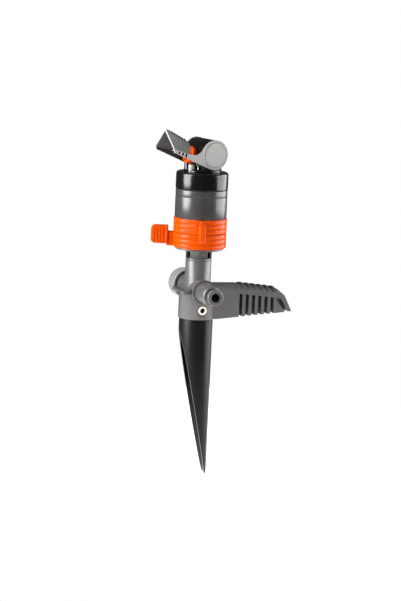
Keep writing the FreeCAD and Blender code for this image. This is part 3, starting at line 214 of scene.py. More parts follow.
class Finish:
    """One material, built from its Principled shader outwards."""

    def __init__(self, name, colour, **sockets):
        self.material = bpy.data.materials.new(name)
        self.material.use_nodes = True
        self.tree = self.material.node_tree
        self.shader = self.tree.nodes["Principled BSDF"]
        self.material.diffuse_color = (*colour, 1)
        self.give(self.shader, {"Base Color": (*colour, 1), **sockets})
        self.place = Wire(self, self.tree.nodes.new("ShaderNodeTexCoord").outputs["Object"])

    def give(self, node, values):
        """Set or link the inputs of a node."""
        for key, value in values.items():
            if isinstance(value, Wire):
                self.tree.links.new(value.socket, node.inputs[key])
            else:
                node.inputs[key].default_value = value

    def node(self, kind, output, settings=None, **values):
        """Add a node of a type, with its settings and its sockets."""
        made = self.tree.nodes.new(kind)
        for key, value in (settings or {}).items():
            setattr(made, key, value)
        self.give(made, {key.replace("_", " "): value for key, value in values.items()})
        return Wire(self, made.outputs[output])

    def sum(self, operation, first, second):
        """One Math node on two values."""
        made = self.tree.nodes.new("ShaderNodeMath")
        made.operation = operation
        self.give(made, {0: first, 1: second})
        return Wire(self, made.outputs[0])

    def noise(self, scale, detail, stretch=(1, 1, 1)):
        """Smooth noise in metres; stretch squeezes it along an axis."""
        spot = self.node("ShaderNodeMapping", "Vector", Vector=self.place, Scale=stretch)
        return self.node("ShaderNodeTexNoise", "Fac", Vector=spot, Scale=scale, Detail=detail)

    def mix(self, factor, first, second):
        """Blend two colours by a factor."""
        made = self.tree.nodes.new("ShaderNodeMix")
        made.data_type = "RGBA"
        self.give(made, {0: factor, 6: (*first, 1), 7: (*second, 1)})
        return Wire(self, made.outputs[2])

    def ramp(self, value, low, high):
        """Stretch the part of a value between low and high to run from 0 to 1."""
        return self.node("ShaderNodeMapRange", "Result", Value=value, From_Min=low, From_Max=high)

    def bump(self, height, depth):
        """Raise the surface by a height pattern of a depth in metres."""
        raised = self.node("ShaderNodeBump", "Normal", Height=height, Distance=depth)
        self.give(self.shader, {"Normal": raised})


def shade(colour, factor):
    """A colour made lighter or darker."""
    return tuple(min(1.0, part * factor) for part in colour)


# %% [markdown]
# ## Moulded plastics
# Injection moulded parts copy their mould: a spark-eroded mould leaves a fine even grain, a polished
# one leaves gloss with faint flow lines. Both get slow changes of roughness from handling, because
# a surface with one roughness all over looks like paper.

# %% Plastics
# Noise scales, in repeats to the metre
GRAIN_SCALE, FLOW_SCALE, SCUFF_SCALE = 2600, 900, 420
GRAINED_DRIFT, POLISHED_DRIFT = 28, 22


def grained_plastic(name, colour, roughness, grain, specular=0.5):
    """Plastic from a textured mould: fine grain, slow changes of tone and gloss."""
    finish = Finish(name, colour, **{"Specular IOR Level": specular})
    drift = finish.noise(GRAINED_DRIFT, 2)
    fine = finish.noise(GRAIN_SCALE, 2)
    tone = finish.mix(finish.ramp(drift, 0.35, 0.65), shade(colour, 0.93), shade(colour, 1.06))
    gloss = roughness - 0.06 + drift * 0.08 + fine * 0.06
    finish.give(finish.shader, {"Base Color": tone, "Roughness": gloss})
    finish.bump(fine, grain)
    return finish.material


def polished_plastic(name, colour, roughness, flow, specular=0.5):
    """Plastic from a polished mould: gloss, faint upright flow lines and light hairline scuffs."""
    finish = Finish(name, colour, **{"Specular IOR Level": specular})
    lines = finish.noise(FLOW_SCALE, 2, (1, 1, 0.03))
    drift = finish.noise(POLISHED_DRIFT, 2)
    scuffs = finish.ramp(finish.noise(SCUFF_SCALE, 4, (1, 0.12, 0.5)), 0.62, 0.8)
    tone = finish.mix(finish.ramp(drift, 0.3, 0.7), shade(colour, 0.94), shade(colour, 1.05))
    finish.give(finish.shader, {"Base Color": tone, "Roughness": roughness + drift * 0.06 + scuffs * 0.12})
    finish.bump(lines, flow)
    return finish.material


STAND = grained_plastic("stand_grey_grain", (0.086, 0.084, 0.08), 0.32, 0.00004, 0.65)
HOUSING = polished_plastic("housing_grey_satin", (0.04, 0.039, 0.037), 0.24, 0.00002, 0.65)
BLACK = polished_plastic("black_gloss_moulding", (0.003, 0.003, 0.0032), 0.16, 0.00002)
SPIKE = grained_plastic("spike_satin_black", (0.004, 0.004, 0.004), 0.38, 0.00004, 0.2)
HOOD = grained_plastic("hood_pale_grain", (0.285, 0.28, 0.275), 0.42, 0.00003)
# Painted shade: a dark copy of the hood grey for the faces inside the hood.
INNER_PAINTED_SHADE = grained_plastic("hood_inner_shade", (0.05, 0.049, 0.047), 0.6, 0.00004, 0.25)
ORANGE = polished_plastic("orange_gloss_moulding", (0.55, 0.06, 0.001), 0.2, 0.00001, 0.14)
CAP = grained_plastic("end_cap_pale_grain", (0.21, 0.21, 0.206), 0.45, 0.00003)
# Painted shade: a darker copy of the hood grey for the sloping roof and its teeth.
ROOF_PAINTED_SHADE = grained_plastic("hood_roof_grain", (0.105, 0.103, 0.1), 0.5, 0.00004, 0.35)
CREAM = polished_plastic("rivet_cream_gloss", (0.83, 0.79, 0.66), 0.25, 0.00001)
WHITE = grained_plastic("natural_white_nylon", (0.74, 0.73, 0.69), 0.4, 0.00002)
PIPE = grained_plastic("standpipe_grey_nylon", (0.32, 0.32, 0.31), 0.3, 0.00001)
# Black rubber for the seals; the same black is painted shade in the hood's slots, under the end cap and in
# the rivet's bore.
SEAL_AND_PAINTED_SHADE = grained_plastic("seal_rubber", (0.012, 0.012, 0.012), 0.55, 0.00003, 0.3)
print(len(bpy.data.materials), "materials so far")

# %% [markdown]
# ## Metals
# The springs, axles and screws are stainless: drawn or turned, so their fine marks run one way.

# %% Steel
STEEL_COLOUR = (0.62, 0.61, 0.6)
TURNING_SCALE, TURNING_DEPTH = 1800, 0.00001

metal = Finish("drawn_stainless", STEEL_COLOUR, Metallic=1.0)
marks = metal.noise(TURNING_SCALE, 2, (1, 1, 0.05))
metal.give(metal.shader, {"Roughness": 0.22 + marks * 0.16})
metal.bump(marks, TURNING_DEPTH)
STEEL = metal.material
print(STEEL.name, "has", len(metal.tree.nodes), "nodes")

# %% [markdown]
# ## A finish on every piece of the frame
# The record names a slot for each node; the finish for a slot replaces the loader's plain colour.

# %% Finishes by slot
FINISHES = {
    "stand_grey": STAND, "black_gloss": BLACK, "housing_grey": HOUSING, "hood_grey": HOOD, "cap_grey": CAP,
    "orange": ORANGE, "rivet_cream": CREAM, "seal_black": SEAL_AND_PAINTED_SHADE, "white_plastic": WHITE, "steel": STEEL,
}
slot_of = {part["node"]: part["material_slot"] for part in frame["record"]["subparts"]}
for name, node in nodes.items():
    for place in node.material_slots:
        place.material = FINISHES[slot_of[name]]
nodes["nozzle_pipe"].material_slots[0].material = PIPE
nodes["spike"].material_slots[0].material = SPIKE
print("finished", len(nodes), "nodes")

# %% [markdown]
# ## Soft edges on the mouldings
# No moulded edge is knife sharp: the tool leaves a round of a few tenths of a millimetre, and that
# round is what catches a thin line of light. The frame's own meshes stay as they are, so three live
# modifiers do the work. Weld joins the loose triangles, Decimate in its planar mode takes out the
# lines across flat faces, and Bevel rounds each edge that is sharper than an angle.

# %% Soft edges
WELD_GAP = 0.002 * MM
FLAT_ANGLE = math.radians(0.5)
EDGE_ANGLE = math.radians(32)
EDGE_ROUND = {
    "stand_body": 0.5, "hose_connector": 0.35, "housing_base": 0.3, "end_cap": 0.2, "spike": 0.3,
    "turret": 0.5, "nozzle_tip": 0.4, "nozzle_pipe": 0.3, "hood_pins": 0.25, "rotor_cap": 0.25,
    "drive_housing": 0.25, "trim_ring": 0.2,
}


def soften(node, radius):
    """Round the sharp edges of a node by a radius in millimetres, with live modifiers."""
    weld = node.modifiers.new("weld", "WELD")
    weld.merge_threshold = WELD_GAP
    flat = node.modifiers.new("flat", "DECIMATE")
    flat.decimate_type = "DISSOLVE"
    flat.angle_limit = FLAT_ANGLE
    edge = node.modifiers.new("edge", "BEVEL")
    edge.width = radius * MM
    edge.segments = 2
    edge.limit_method = "ANGLE"
    edge.angle_limit = EDGE_ANGLE


for name, radius in EDGE_ROUND.items():
    soften(nodes[name], radius)
print("softened", len(EDGE_ROUND), "nodes")

# %% [markdown]
# ## Tools for modelling
# The pieces below are modelled with the same operators as in Blender's menus. Two small helpers
# keep that safe in a script: one makes a piece the only selected object, and one selects the parts
# of a mesh that pass a test, because an operator acts on everything that is selected.

# %% Selecting
SMOOTH_ANGLE = math.radians(40)
ROUND_ANGLE = math.radians(35)


def only(piece):
    """Make a piece the only selected and the active object."""
    bpy.ops.object.select_all(action="DESELECT")
    piece.select_set(True)
    bpy.context.view_layer.objects.active = piece


def pick(piece, parts, test):
    """In edit mode, select the verts, edges or faces that pass a test."""
    bpy.ops.mesh.select_mode(type={"verts": "VERT", "edges": "EDGE", "faces": "FACE"}[parts])
    bpy.ops.mesh.select_all(action="DESELECT")
    mesh = bmesh.from_edit_mesh(piece.data)
    for item in getattr(mesh, parts):
        item.select_set(bool(test(item)))
    mesh.select_flush_mode()
    bmesh.update_edit_mesh(piece.data)


def start(name):
    """Name the primitive just added, put its place into its mesh and open edit mode."""
    piece = bpy.context.object
    piece.name = piece.data.name = name
    only(piece)
    bpy.ops.object.transform_apply(location=True, rotation=True, scale=True)
    bpy.ops.object.mode_set(mode="EDIT")
    return piece


def done(piece):
    """Close edit mode with all faces pointing outwards."""
    bpy.ops.mesh.select_all(action="SELECT")
    bpy.ops.mesh.remove_doubles(threshold=WELD_GAP)
    bpy.ops.mesh.normals_make_consistent(inside=False)
    bpy.ops.object.mode_set(mode="OBJECT")
    return piece


def modify(piece, kind, **settings):
    """Add a modifier with its settings and apply it."""
    only(piece)
    made = piece.modifiers.new(kind.lower(), kind)
    for key, value in settings.items():
        setattr(made, key, value)
    bpy.ops.object.modifier_apply(modifier=made.name)


def cut(piece, tool):
    """Take a tool's shape out of a piece, and drop the tool."""
    modify(piece, "BOOLEAN", operation="DIFFERENCE", object=tool, solver="EXACT", material_mode="TRANSFER")
    bpy.data.objects.remove(tool)


def round_edges(piece, radius):
    """Bevel the sharp edges of a piece and shade its rounds smooth."""
    modify(piece, "BEVEL", width=radius * MM, segments=3, limit_method="ANGLE", angle_limit=ROUND_ANGLE)
    only(piece)
    bpy.ops.object.shade_smooth_by_angle(angle=SMOOTH_ANGLE)


def paint(piece, *finishes):
    """Give a piece its finishes; faces use the first one until told otherwise."""
    for finish in finishes:
        piece.data.materials.append(finish)


def paint_faces(piece, finish, test):
    """Give the faces that pass a test one of the finishes that the piece has."""
    index = piece.data.materials.find(finish.name)
    for face in piece.data.polygons:
        if test(face):
            face.material_index = index


def extrude(step):
    """Extrude what is selected by a step in metres."""
    bpy.ops.mesh.extrude_region_move(TRANSFORM_OT_translate={"value": step})


def join(name, parts):
    """Put each part's place into its mesh, and join them all into one named piece."""
    bpy.ops.object.select_all(action="DESELECT")
    for part in parts:
        part.select_set(True)
    bpy.context.view_layer.objects.active = parts[0]
    bpy.ops.object.transform_apply(location=True, rotation=True, scale=True)
    bpy.ops.object.join()
    piece = bpy.context.object
    piece.name = piece.data.name = name
    return piece


print("modelling helpers ready")

# %% [markdown]
# ## The deflector hood: its two arms
# The hood tilts on two pins and sets how far the water is thrown. It is one moulding, but easiest
# to build as two flat arms and a roof. Each arm is an outline with only straight runs and arcs: the
# disc round the pivot, a scoop that blends it into the arm, and the arm's straight edges. Spinning
# one vertex draws an arc exactly, which a row of typed points would only copy. Distances here are
# in millimetres from the pivot: forward, sideways and up.

# %% Places on the hood
HOOD_FRONT, HOOD_REAR = 49.7, 22.3
BASE = {"front": 3.6, "rear": -7.8}
EAVE = {"front": 7.0, "rear": -0.6}
RIDGE = {"front": 26.4, "rear": 13.0}
ARM_INNER, ARM_OUTER = 16.86, 19.06
DISC, SCOOP = 15.5, 13.0
RECESS, RECESS_DEPTH, PIN_HOLE = 13.3, 0.9, 3.25
DISC_STEPS, SCOOP_STEPS = 56, 18
OVERRUN = 1
tilt = next(joint for joint in frame["record"]["behaviour"]["joints"] if joint["name"] == "hood_tilt")
PIVOT = Vector(tilt["pos_m"])
HEAD_TURN = math.atan2(-tilt["axis"][0], tilt["axis"][1])
slope = math.atan2(EAVE["front"] - EAVE["rear"], HOOD_FRONT - HOOD_REAR)
along = Vector((math.cos(slope), 0, math.sin(slope)))
upward = Vector((-math.sin(slope), 0, math.cos(slope)))
begin = Vector((HOOD_REAR, 0, EAVE["rear"])) + upward * SCOOP
travel = -begin.dot(along) + math.sqrt(begin.dot(along) ** 2 - begin.length_squared + (DISC + SCOOP) ** 2)
SCOOP_CENTRE = begin + along * travel
print("head turned", round(math.degrees(HEAD_TURN), 1), "degrees")


# %% An arm
def arm(name, low, high):
    """One arm with its disc, standing between two distances to the side."""
    reach = math.hypot(HOOD_FRONT, BASE["front"])
    lower = math.atan2(BASE["front"], HOOD_FRONT) - math.acos(DISC / reach)
    upper = math.atan2(SCOOP_CENTRE.z, SCOOP_CENTRE.x)
    bpy.ops.mesh.primitive_plane_add(size=MM, location=(DISC * math.cos(lower) * MM, low * MM,
                                                        DISC * math.sin(lower) * MM))
    piece = start(name)
    bpy.ops.mesh.merge(type="CENTER")
    bpy.ops.mesh.spin(steps=DISC_STEPS, angle=upper - lower - math.tau, axis=(0, 1, 0),
                      center=(0, low * MM, 0))
    bpy.ops.mesh.spin(steps=SCOOP_STEPS, angle=slope - math.pi / 2 - (upper - math.pi), axis=(0, 1, 0),
                      center=(SCOOP_CENTRE.x * MM, low * MM, SCOOP_CENTRE.z * MM))
    foot = SCOOP_CENTRE - upward * SCOOP
    tip = Vector((HOOD_FRONT, 0, EAVE["front"]))
    extrude((tip - foot) * MM)
    extrude((0, 0, (BASE["front"] - EAVE["front"]) * MM))
    bpy.ops.mesh.select_all(action="SELECT")
    bpy.ops.mesh.edge_face_add()
    extrude((0, (high - low) * MM, 0))
    return done(piece)


def round_tool(radius, low, high):
    """A cylinder across the hood, to cut a round hole or recess."""
    bpy.ops.mesh.primitive_cylinder_add(
        vertices=96, radius=radius * MM, depth=(high - low) * MM,
        location=(0, (low + high) / 2 * MM, 0), rotation=(math.pi / 2, 0, 0))
    tool = done(start("round_tool"))
    paint(tool, HOOD)
    return tool


arms = []
for name, low, high in (("arm_left", -ARM_OUTER, -ARM_INNER), ("arm_right", ARM_INNER, ARM_OUTER)):
    piece = arm(name, low, high)
    # The black finish goes on the slot walls and the dark inner finish on inward faces, both painted
    # shade.
    paint(piece, HOOD, SEAL_AND_PAINTED_SHADE, INNER_PAINTED_SHADE)
    cut(piece, round_tool(PIN_HOLE, low - OVERRUN, high + OVERRUN))
    outside = (low - OVERRUN, low + RECESS_DEPTH) if low < 0 else (high - RECESS_DEPTH, high + OVERRUN)
    cut(piece, round_tool(RECESS, *outside))
    arms.append(piece)
print("arms", [len(piece.data.polygons) for piece in arms], "faces")

# %% [markdown]
# ## The deflector hood: slots in its arms
# Three short slots near the front of each arm save plastic and read as dark marks on the pale side.
# Each is a leaning box cut into the outer face. The tool is given the black rubber finish before the cut,
# because a Boolean that transfers materials leaves it on the walls that it makes: painted shade in the
# slots.
# The arm's inner face gets the dark inner finish, painted shade for the inside of the hood.

# %% Slots in the arms
SLOTS = ((5.4, 1.3), (9.6, 1.7), (13.8, 2.1))
SLOT_LEAN, SLOT_WIDTH, SLOT_DEPTH, SLOT_RISE = math.radians(-12), 2.0, 1.3, 0.55
ARM_ROUND = 0.4
FLAT_ENOUGH = 0.9
for piece, side in zip(arms, (-1, 1)):
    for back_from_front, half in SLOTS:
        x = HOOD_FRONT - back_from_front
        share = (x - HOOD_REAR) / (HOOD_FRONT - HOOD_REAR)
        base = BASE["rear"] + (BASE["front"] - BASE["rear"]) * share
        eave = EAVE["rear"] + (EAVE["front"] - EAVE["rear"]) * share
        middle = base * (1 - SLOT_RISE) + eave * SLOT_RISE
        bpy.ops.mesh.primitive_cube_add(
            size=MM, location=(x * MM, side * ARM_OUTER * MM, middle * MM),
            rotation=(0, SLOT_LEAN, 0), scale=(SLOT_WIDTH, SLOT_DEPTH * 2, half * 2))
        tool = done(start("slot_tool"))
        # Black slot walls: painted shade in the slots.
        paint(tool, SEAL_AND_PAINTED_SHADE)
        cut(piece, tool)
    round_edges(piece, ARM_ROUND)
    # The inward faces of the arm carry the painted shade of the inside.
    paint_faces(piece, INNER_PAINTED_SHADE, lambda f: f.material_index == 0 and f.normal.y * -side > FLAT_ENOUGH)
print("slots", len(SLOTS), "in each arm")

# %% [markdown]
# ## The deflector hood: its roof
# The roof is a gable, higher and steeper in front, that turns the jet into a fan. It starts as a
# grid of two faces: the ridge is lifted and each end is set to its height. The rear edge is bowed,
# and cut back towards the eaves so that the nozzle shows. An inset on each face sinks the panel
# that the real roof has, and Solidify then gives the wall its thickness inwards.

# %% Roof
WALL, ROOF_ROUND = 1.7, 0.3
PANEL_EDGE, PANEL_DEPTH = 2.4, 0.5
BOW, CUT_BACK, REAR_RUNS = 2.6, 10.0, 8
NEAR_REAR, NEAR_SIDE = 0.5, 0.2
LIP_WIDTH, LIP_FACING, UNDER_FACING = 1.5, 0.75, -0.3
middle = (HOOD_FRONT + HOOD_REAR) / 2
bpy.ops.mesh.primitive_grid_add(x_subdivisions=1, y_subdivisions=2, size=1, location=(middle * MM, 0, 0))
bpy.context.object.scale = ((HOOD_FRONT - HOOD_REAR) * MM, ARM_OUTER * 2 * MM, 1)
roof = start("hood_roof")
for end, at_end in (("front", lambda v: v.co.x > middle * MM), ("rear", lambda v: v.co.x < middle * MM)):
    for height, at_height in ((RIDGE, lambda v: abs(v.co.y) < MM), (EAVE, lambda v: abs(v.co.y) > MM)):
        pick(roof, "verts", lambda v: at_end(v) and at_height(v))
        bpy.ops.transform.translate(value=(0, 0, height[end] * MM))
pick(roof, "edges", lambda e: all(v.co.x < middle * MM for v in e.verts))
bpy.ops.mesh.subdivide(number_cuts=REAR_RUNS - 1)
eave_slope = (EAVE["front"] - EAVE["rear"]) / (HOOD_FRONT - HOOD_REAR)
for number in range(REAR_RUNS, 0, -1):
    across, back = ARM_OUTER * number / REAR_RUNS, CUT_BACK * number / REAR_RUNS
    pick(roof, "verts", lambda v: v.co.x < (HOOD_REAR + NEAR_REAR) * MM
         and abs(abs(v.co.y) - across * MM) < NEAR_SIDE * MM)
    forward = back - BOW * math.sin(math.pi * number / REAR_RUNS)
    bpy.ops.transform.translate(value=(forward * MM, 0, back * eave_slope * MM))
bpy.ops.mesh.select_all(action="SELECT")
bpy.ops.mesh.normals_make_consistent(inside=False)
mesh = bmesh.from_edit_mesh(roof.data)
if sum(face.normal.z for face in mesh.faces) < 0:
    bpy.ops.mesh.flip_normals()
bpy.ops.mesh.inset(thickness=PANEL_EDGE * MM, depth=-PANEL_DEPTH * MM, use_individual=True)
bpy.ops.object.mode_set(mode="OBJECT")
modify(roof, "SOLIDIFY", thickness=WALL * MM, offset=-1, use_even_offset=True)
round_edges(roof, ROOF_ROUND)
# The roof carries the darker roof grey as painted shade, its underside the inner painted shade, and its
# front lip the hood's own grey.
paint(roof, ROOF_PAINTED_SHADE, HOOD, INNER_PAINTED_SHADE)
paint_faces(roof, INNER_PAINTED_SHADE, lambda f: f.normal.z < UNDER_FACING)
paint_faces(roof, HOOD, lambda f: f.normal.x > LIP_FACING and f.center.x > (HOOD_FRONT - LIP_WIDTH) * MM)
print("roof", len(roof.data.polygons), "faces")

# %% [markdown]
# ## The deflector hood: grip teeth
# A row of short teeth along the ridge gives a wet thumb something to push against. One tooth is
# modelled with its top drawn in, and copied down the ridge.

# %% Grip teeth
TOOTH_START, TOOTH_PITCH, TOOTH_COUNT = 4.4, 3.1, 7
TOOTH_SIZE, TOOTH_TOP = (1.5, 7.0, 4.2), (0.55, 0.35, 1)
TOOTH_PROUD, TOOTH_ROUND = 0.55, 0.25
bpy.ops.mesh.primitive_cube_add(size=MM, scale=TOOTH_SIZE)
tooth = start("grip_tooth")
pick(tooth, "faces", lambda f: f.normal.z > FLAT_ENOUGH)
bpy.ops.transform.resize(value=TOOTH_TOP)
done(tooth)
round_edges(tooth, TOOTH_ROUND)
# The teeth carry the roof's painted shade.
paint(tooth, ROOF_PAINTED_SHADE)
ridge_slope = (RIDGE["front"] - RIDGE["rear"]) / (HOOD_FRONT - HOOD_REAR)
teeth = []
for number in range(TOOTH_COUNT):
    x = HOOD_FRONT - TOOTH_START - TOOTH_PITCH * number
    ridge = RIDGE["front"] - (HOOD_FRONT - x) * ridge_slope
    copy = tooth.copy()
    copy.data = tooth.data.copy()
    bpy.context.collection.objects.link(copy)
    copy.location = Vector((x, 0, ridge + TOOTH_PROUD - TOOTH_SIZE[2] / 2)) * MM
    teeth.append(copy)
bpy.data.objects.remove(tooth)
print("teeth", len(teeth))

# %% [markdown]
# ## The deflector hood: together
# Up to here the hood lies along X about its pivot. Joined, it turns to where the head points, moves
# to the pivot and stands for the plainer hood of the frame, and it rides on the hood's body so that
# it tilts.

# %% Hood together
hood = join("deflector_hood_moulding", [roof] + arms + teeth)
hood.matrix_world = Matrix.Translation(PIVOT) @ Matrix.Rotation(HEAD_TURN, 4, "Z")
bpy.ops.object.transform_apply(location=True, rotation=True, scale=True)
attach(hood, "hood")
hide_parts("deflector_hood")
print("hood", [round(side / MM, 1) for side in hood.dimensions], "mm")

# %% [markdown]
# ## The sector rings: their bands
# Two orange rings set where the sprinkler turns back. Each has three crowned ribs for grip and a
# thumb tab on an arm. The band is a closed outline spun once round the axis, so its ribs run true.

# %% Places on the rings
RING_BORE, RING_VALLEY, RING_OUTER, RING_HEIGHT = 24.7, 26.9, 27.9, 15.4
RING_RIBS = 3
RIB = RING_HEIGHT / RING_RIBS
RIB_CROWN, RIB_SIDE, VALLEY_DROP = 0.15, 0.45, 0.1
LOWER_HEADING, UPPER_HEADING, FACET_HEADING = 159.2, 253.0, 223.5
SAME_PLACE = 1e-6
lower_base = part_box("lower_sector_ring")[0][2] / MM
upper_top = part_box("upper_sector_ring")[1][2] / MM


def spun(name, outline, steps=120):
    """A closed outline of (radius, height) points in millimetres, spun once round the axis."""
    points = [Vector((radius, 0, height)) * MM for radius, height in outline]
    bpy.ops.mesh.primitive_plane_add(size=MM, location=points[0])
    piece = start(name)
    bpy.ops.mesh.select_mode(type="VERT")
    bpy.ops.mesh.select_all(action="SELECT")
    bpy.ops.mesh.merge(type="CENTER")
    for here, there in zip(points, points[1:]):
        extrude(there - here)
    ends = (points[0], points[-1])
    pick(piece, "verts", lambda v: any((v.co - end).length < SAME_PLACE for end in ends))
    bpy.ops.mesh.edge_face_add()
    bpy.ops.mesh.select_all(action="SELECT")
    bpy.ops.mesh.spin(steps=steps, angle=math.tau, center=(0, 0, 0), axis=(0, 0, 1))
    return done(piece)


def ring_outline(base):
    """Section of a ring: a plain bore and crowned ribs outside, with a valley between ribs."""
    outline = [(RING_BORE, base), (RING_VALLEY, base)]
    for number in range(RING_RIBS):
        low, high = base + RIB * number, base + RIB * (number + 1)
        outline += [(RING_OUTER - RIB_CROWN, low + RIB_SIDE), (RING_OUTER, low + RIB / 2),
                    (RING_OUTER - RIB_CROWN, high - RIB_SIDE)]
        if number < RING_RIBS - 1:
            outline.append((RING_VALLEY, high - VALLEY_DROP))
    return outline + [(RING_VALLEY, base + RING_HEIGHT), (RING_BORE, base + RING_HEIGHT)]


print("rings from", round(lower_base, 1), "to", round(upper_top, 1), "mm")

# %% [markdown]
# ## The sector rings: their thumb tabs
# A tab has to be pushed round with a wet thumb, so it has a rounded paddle with upright grips on
# both faces and a step where it meets its arm. All of it is made of boxes that are bevelled and let
# into each other, as a mould maker would add them. It points along X, and is turned with its ring.

# %% A thumb tab
TAB_ROOT, TAB_REACH, TAB_THICK, TAB_HEIGHT, TAB_LIFT = 33.0, 51.0, 6.0, 19.4, 2.0
PADDLE_FROM, PADDLE_CORNER, PADDLE_ROUND = 40, 4.5, 0.9
ARM_IN, ARM_OVERLAP, ARM_THINNER, TAB_ARM_ROUND = 0.6, 1.5, 0.8, 0.6
GRIPS, GRIP_START, GRIP_PITCH, GRIP_WIDTH = 4, 5.0, 3.0, 1.5
GRIP_PROUD, GRIP_SHORT, GRIP_ROUND = 0.4, 2.2, 0.35
STEP_FROM, STEP_TO, STEP_PROUD, STEP_SHORT, STEP_ROUND = 0.3, 2.6, 0.6, 0.4, 0.8


def block(name, low, high, roundness, segments=3):
    """A box between two corners, its edges rounded; distances in millimetres."""
    low, high = Vector(low), Vector(high)
    bpy.ops.mesh.primitive_cube_add(size=1, location=(low + high) / 2 * MM, scale=(high - low) * MM)
    piece = start(name)
    bpy.ops.mesh.bevel(offset=roundness * MM, segments=segments, affect="EDGES")
    return done(piece)


def tab_paddle(low):
    """The paddle of a tab, with its outer corners rounded in side view."""
    bpy.ops.mesh.primitive_cube_add(
        size=1, location=((TAB_ROOT + TAB_REACH) / 2 * MM, 0, (low + TAB_HEIGHT / 2) * MM),
        scale=((TAB_REACH - TAB_ROOT) * MM, TAB_THICK * MM, TAB_HEIGHT * MM))
    paddle = start("tab_paddle")
    pick(paddle, "edges", lambda e: abs(e.verts[0].co.y - e.verts[1].co.y) > MM
         and e.verts[0].co.x > PADDLE_FROM * MM)
    bpy.ops.mesh.bevel(offset=PADDLE_CORNER * MM, segments=6, affect="EDGES")
    done(paddle)
    modify(paddle, "BEVEL", width=PADDLE_ROUND * MM, segments=3, limit_method="ANGLE",
           angle_limit=SMOOTH_ANGLE)
    return paddle


def thumb_tab(low, ring_low, ring_high):
    """Paddle with upright grips on both sides, and the arm that joins it to its ring."""
    half, high = TAB_THICK / 2, low + TAB_HEIGHT
    parts = [tab_paddle(low),
             block("tab_arm", (RING_VALLEY - ARM_IN, -half + ARM_THINNER, ring_low),
                   (TAB_ROOT + ARM_OVERLAP, half - ARM_THINNER, ring_high), TAB_ARM_ROUND)]
    for number in range(GRIPS):
        x = TAB_ROOT + GRIP_START + GRIP_PITCH * number
        parts.append(block("tab_grip", (x, -half - GRIP_PROUD, low + GRIP_SHORT),
                           (x + GRIP_WIDTH, half + GRIP_PROUD, high - GRIP_SHORT), GRIP_ROUND, 2))
    parts.append(block("tab_step", (TAB_ROOT + STEP_FROM, -half - STEP_PROUD, low + STEP_SHORT),
                       (TAB_ROOT + STEP_TO, half + STEP_PROUD, high - STEP_SHORT), STEP_ROUND))
    return parts


print("tab from", TAB_ROOT, "to", TAB_REACH, "mm, with", GRIPS, "grips")

# %% [markdown]
# ## The sector rings: together
# The upper ring also has a flat facet with two grooves and a low bar: the mark that its owner lines
# up with the housing. The facet is cut while the ring still points along X, and then the bevel runs,
# small enough to leave the thin dark lines between the ribs.

# %% Both rings
FACET_DEPTH, FACET_HALF = 1.5, 9.8
GROOVE_DEPTH, GROOVE_HALF, GROOVE_WIDE = 1.9, 12, 0.3
FACET_OVERRUN, FACET_OUT, FACET_ROUND = 1, 3, 0.02
BAR_BACK, BAR_FRONT, BAR_FROM, BAR_TO, BAR_SHORT, BAR_ROUND = 2.0, 1.05, -9.6, 7.4, 1.1, 0.3
BAND_ROUND, BAND_ANGLE = 0.18, math.radians(30)


def cut_facet(band, base, side):
    """Cut the facet and its two grooves into a band, and make the bar that lies on it."""
    cuts = [((RING_OUTER - FACET_DEPTH, -FACET_HALF, base - FACET_OVERRUN),
             (RING_OUTER + FACET_OUT, FACET_HALF, base + RING_HEIGHT + FACET_OVERRUN))]
    for number in range(1, RING_RIBS):
        groove = base + RIB * number
        cuts.append(((RING_OUTER - GROOVE_DEPTH, -GROOVE_HALF, groove - GROOVE_WIDE),
                     (RING_OUTER + FACET_OUT, GROOVE_HALF, groove + GROOVE_WIDE)))
    for low, high in cuts:
        tool = block("facet_tool", low, high, FACET_ROUND, 1)
        tool.matrix_world = side
        paint(tool, ORANGE)
        cut(band, tool)
    bar = block("facet_bar", (RING_OUTER - BAR_BACK, BAR_FROM, base + RIB + BAR_SHORT),
                (RING_OUTER - BAR_FRONT, BAR_TO, base + RIB * 2 - BAR_SHORT), BAR_ROUND)
    bar.matrix_world = side
    return bar


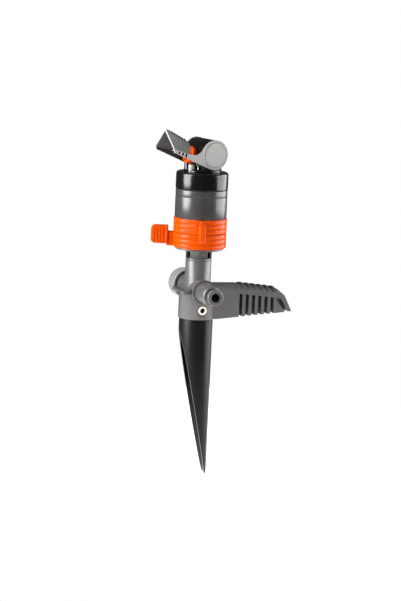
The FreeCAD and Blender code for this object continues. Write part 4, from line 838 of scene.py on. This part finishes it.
def sector_ring(name, base, tab_low, heading, facet=None):
    """A ribbed ring with its tab, turned to a heading; its facet, if any, has its own heading."""
    band = spun(name + "_band", ring_outline(base))
    paint(band, ORANGE)
    bars = []
    if facet is not None:
        bars.append(cut_facet(band, base, Matrix.Rotation(math.radians(facet - heading), 4, "Z")))
    modify(band, "BEVEL", width=BAND_ROUND * MM, segments=2, limit_method="ANGLE", angle_limit=BAND_ANGLE)
    added = thumb_tab(tab_low, base, base + RING_HEIGHT) + bars
    for part in added:
        paint(part, ORANGE)
    ring = join(name, [band] + added)
    ring.rotation_euler = (0, 0, math.radians(heading))
    bpy.ops.object.transform_apply(location=True, rotation=True, scale=True)
    bpy.ops.object.shade_smooth_by_angle(angle=SMOOTH_ANGLE)
    return ring


lower_ring = sector_ring("lower_ring_moulding", lower_base, lower_base + TAB_LIFT, LOWER_HEADING)
upper_ring = sector_ring("upper_ring_moulding", upper_top - RING_HEIGHT,
                         upper_top - TAB_LIFT - TAB_HEIGHT, UPPER_HEADING, FACET_HEADING)
for piece, body, node in ((lower_ring, "lower_ring", "lower_sector_ring"),
                          (upper_ring, "upper_ring", "upper_sector_ring")):
    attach(piece, body)
    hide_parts(node)
    print(piece.name, len(piece.data.polygons), "faces")

# %% [markdown]
# ## Painted shade in two gaps
# Two black pieces are painted shade that makes a gap look deep: a ring where the end cap presses on,
# and a plug in the bore of the hollow rivet. Both are spun like the rings, then laid over to point along
# Y.

# %% Painted shade under the cap and in the rivet
PIPE_HEIGHT, RIVET_HEIGHT = 30.0, 10.0
CAP_GAP_SHADE_OUTLINE = [(11.3, 28.1), (14.2, 28.1), (14.5, 28.5), (14.5, 30.4), (14.2, 30.8), (11.3, 30.8)]
RIVET_BORE_SHADE_OUTLINE = [(0.4, -16.5), (2.75, -16.5), (2.75, 16.5), (0.4, 16.5)]


def lay_over(piece, height):
    """Turn a piece spun about Z so that it points along Y at a height in millimetres."""
    only(piece)
    piece.rotation_euler = (-math.pi / 2, 0, 0)
    piece.location = (0, 0, height * MM)
    bpy.ops.object.transform_apply(location=True, rotation=True, scale=True)
    bpy.ops.object.shade_smooth_by_angle(angle=SMOOTH_ANGLE)
    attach(piece, "stand")
    # Black, as painted shade in the gap.
    paint(piece, SEAL_AND_PAINTED_SHADE)


cap_gap_shade = spun("cap_washer", CAP_GAP_SHADE_OUTLINE, 72)
lay_over(cap_gap_shade, PIPE_HEIGHT)
rivet_bore_shade = spun("rivet_core", RIVET_BORE_SHADE_OUTLINE, 36)
lay_over(rivet_bore_shade, RIVET_HEIGHT)
print("cap_gap_shade", len(cap_gap_shade.data.polygons), "and core", len(rivet_bore_shade.data.polygons), "faces")
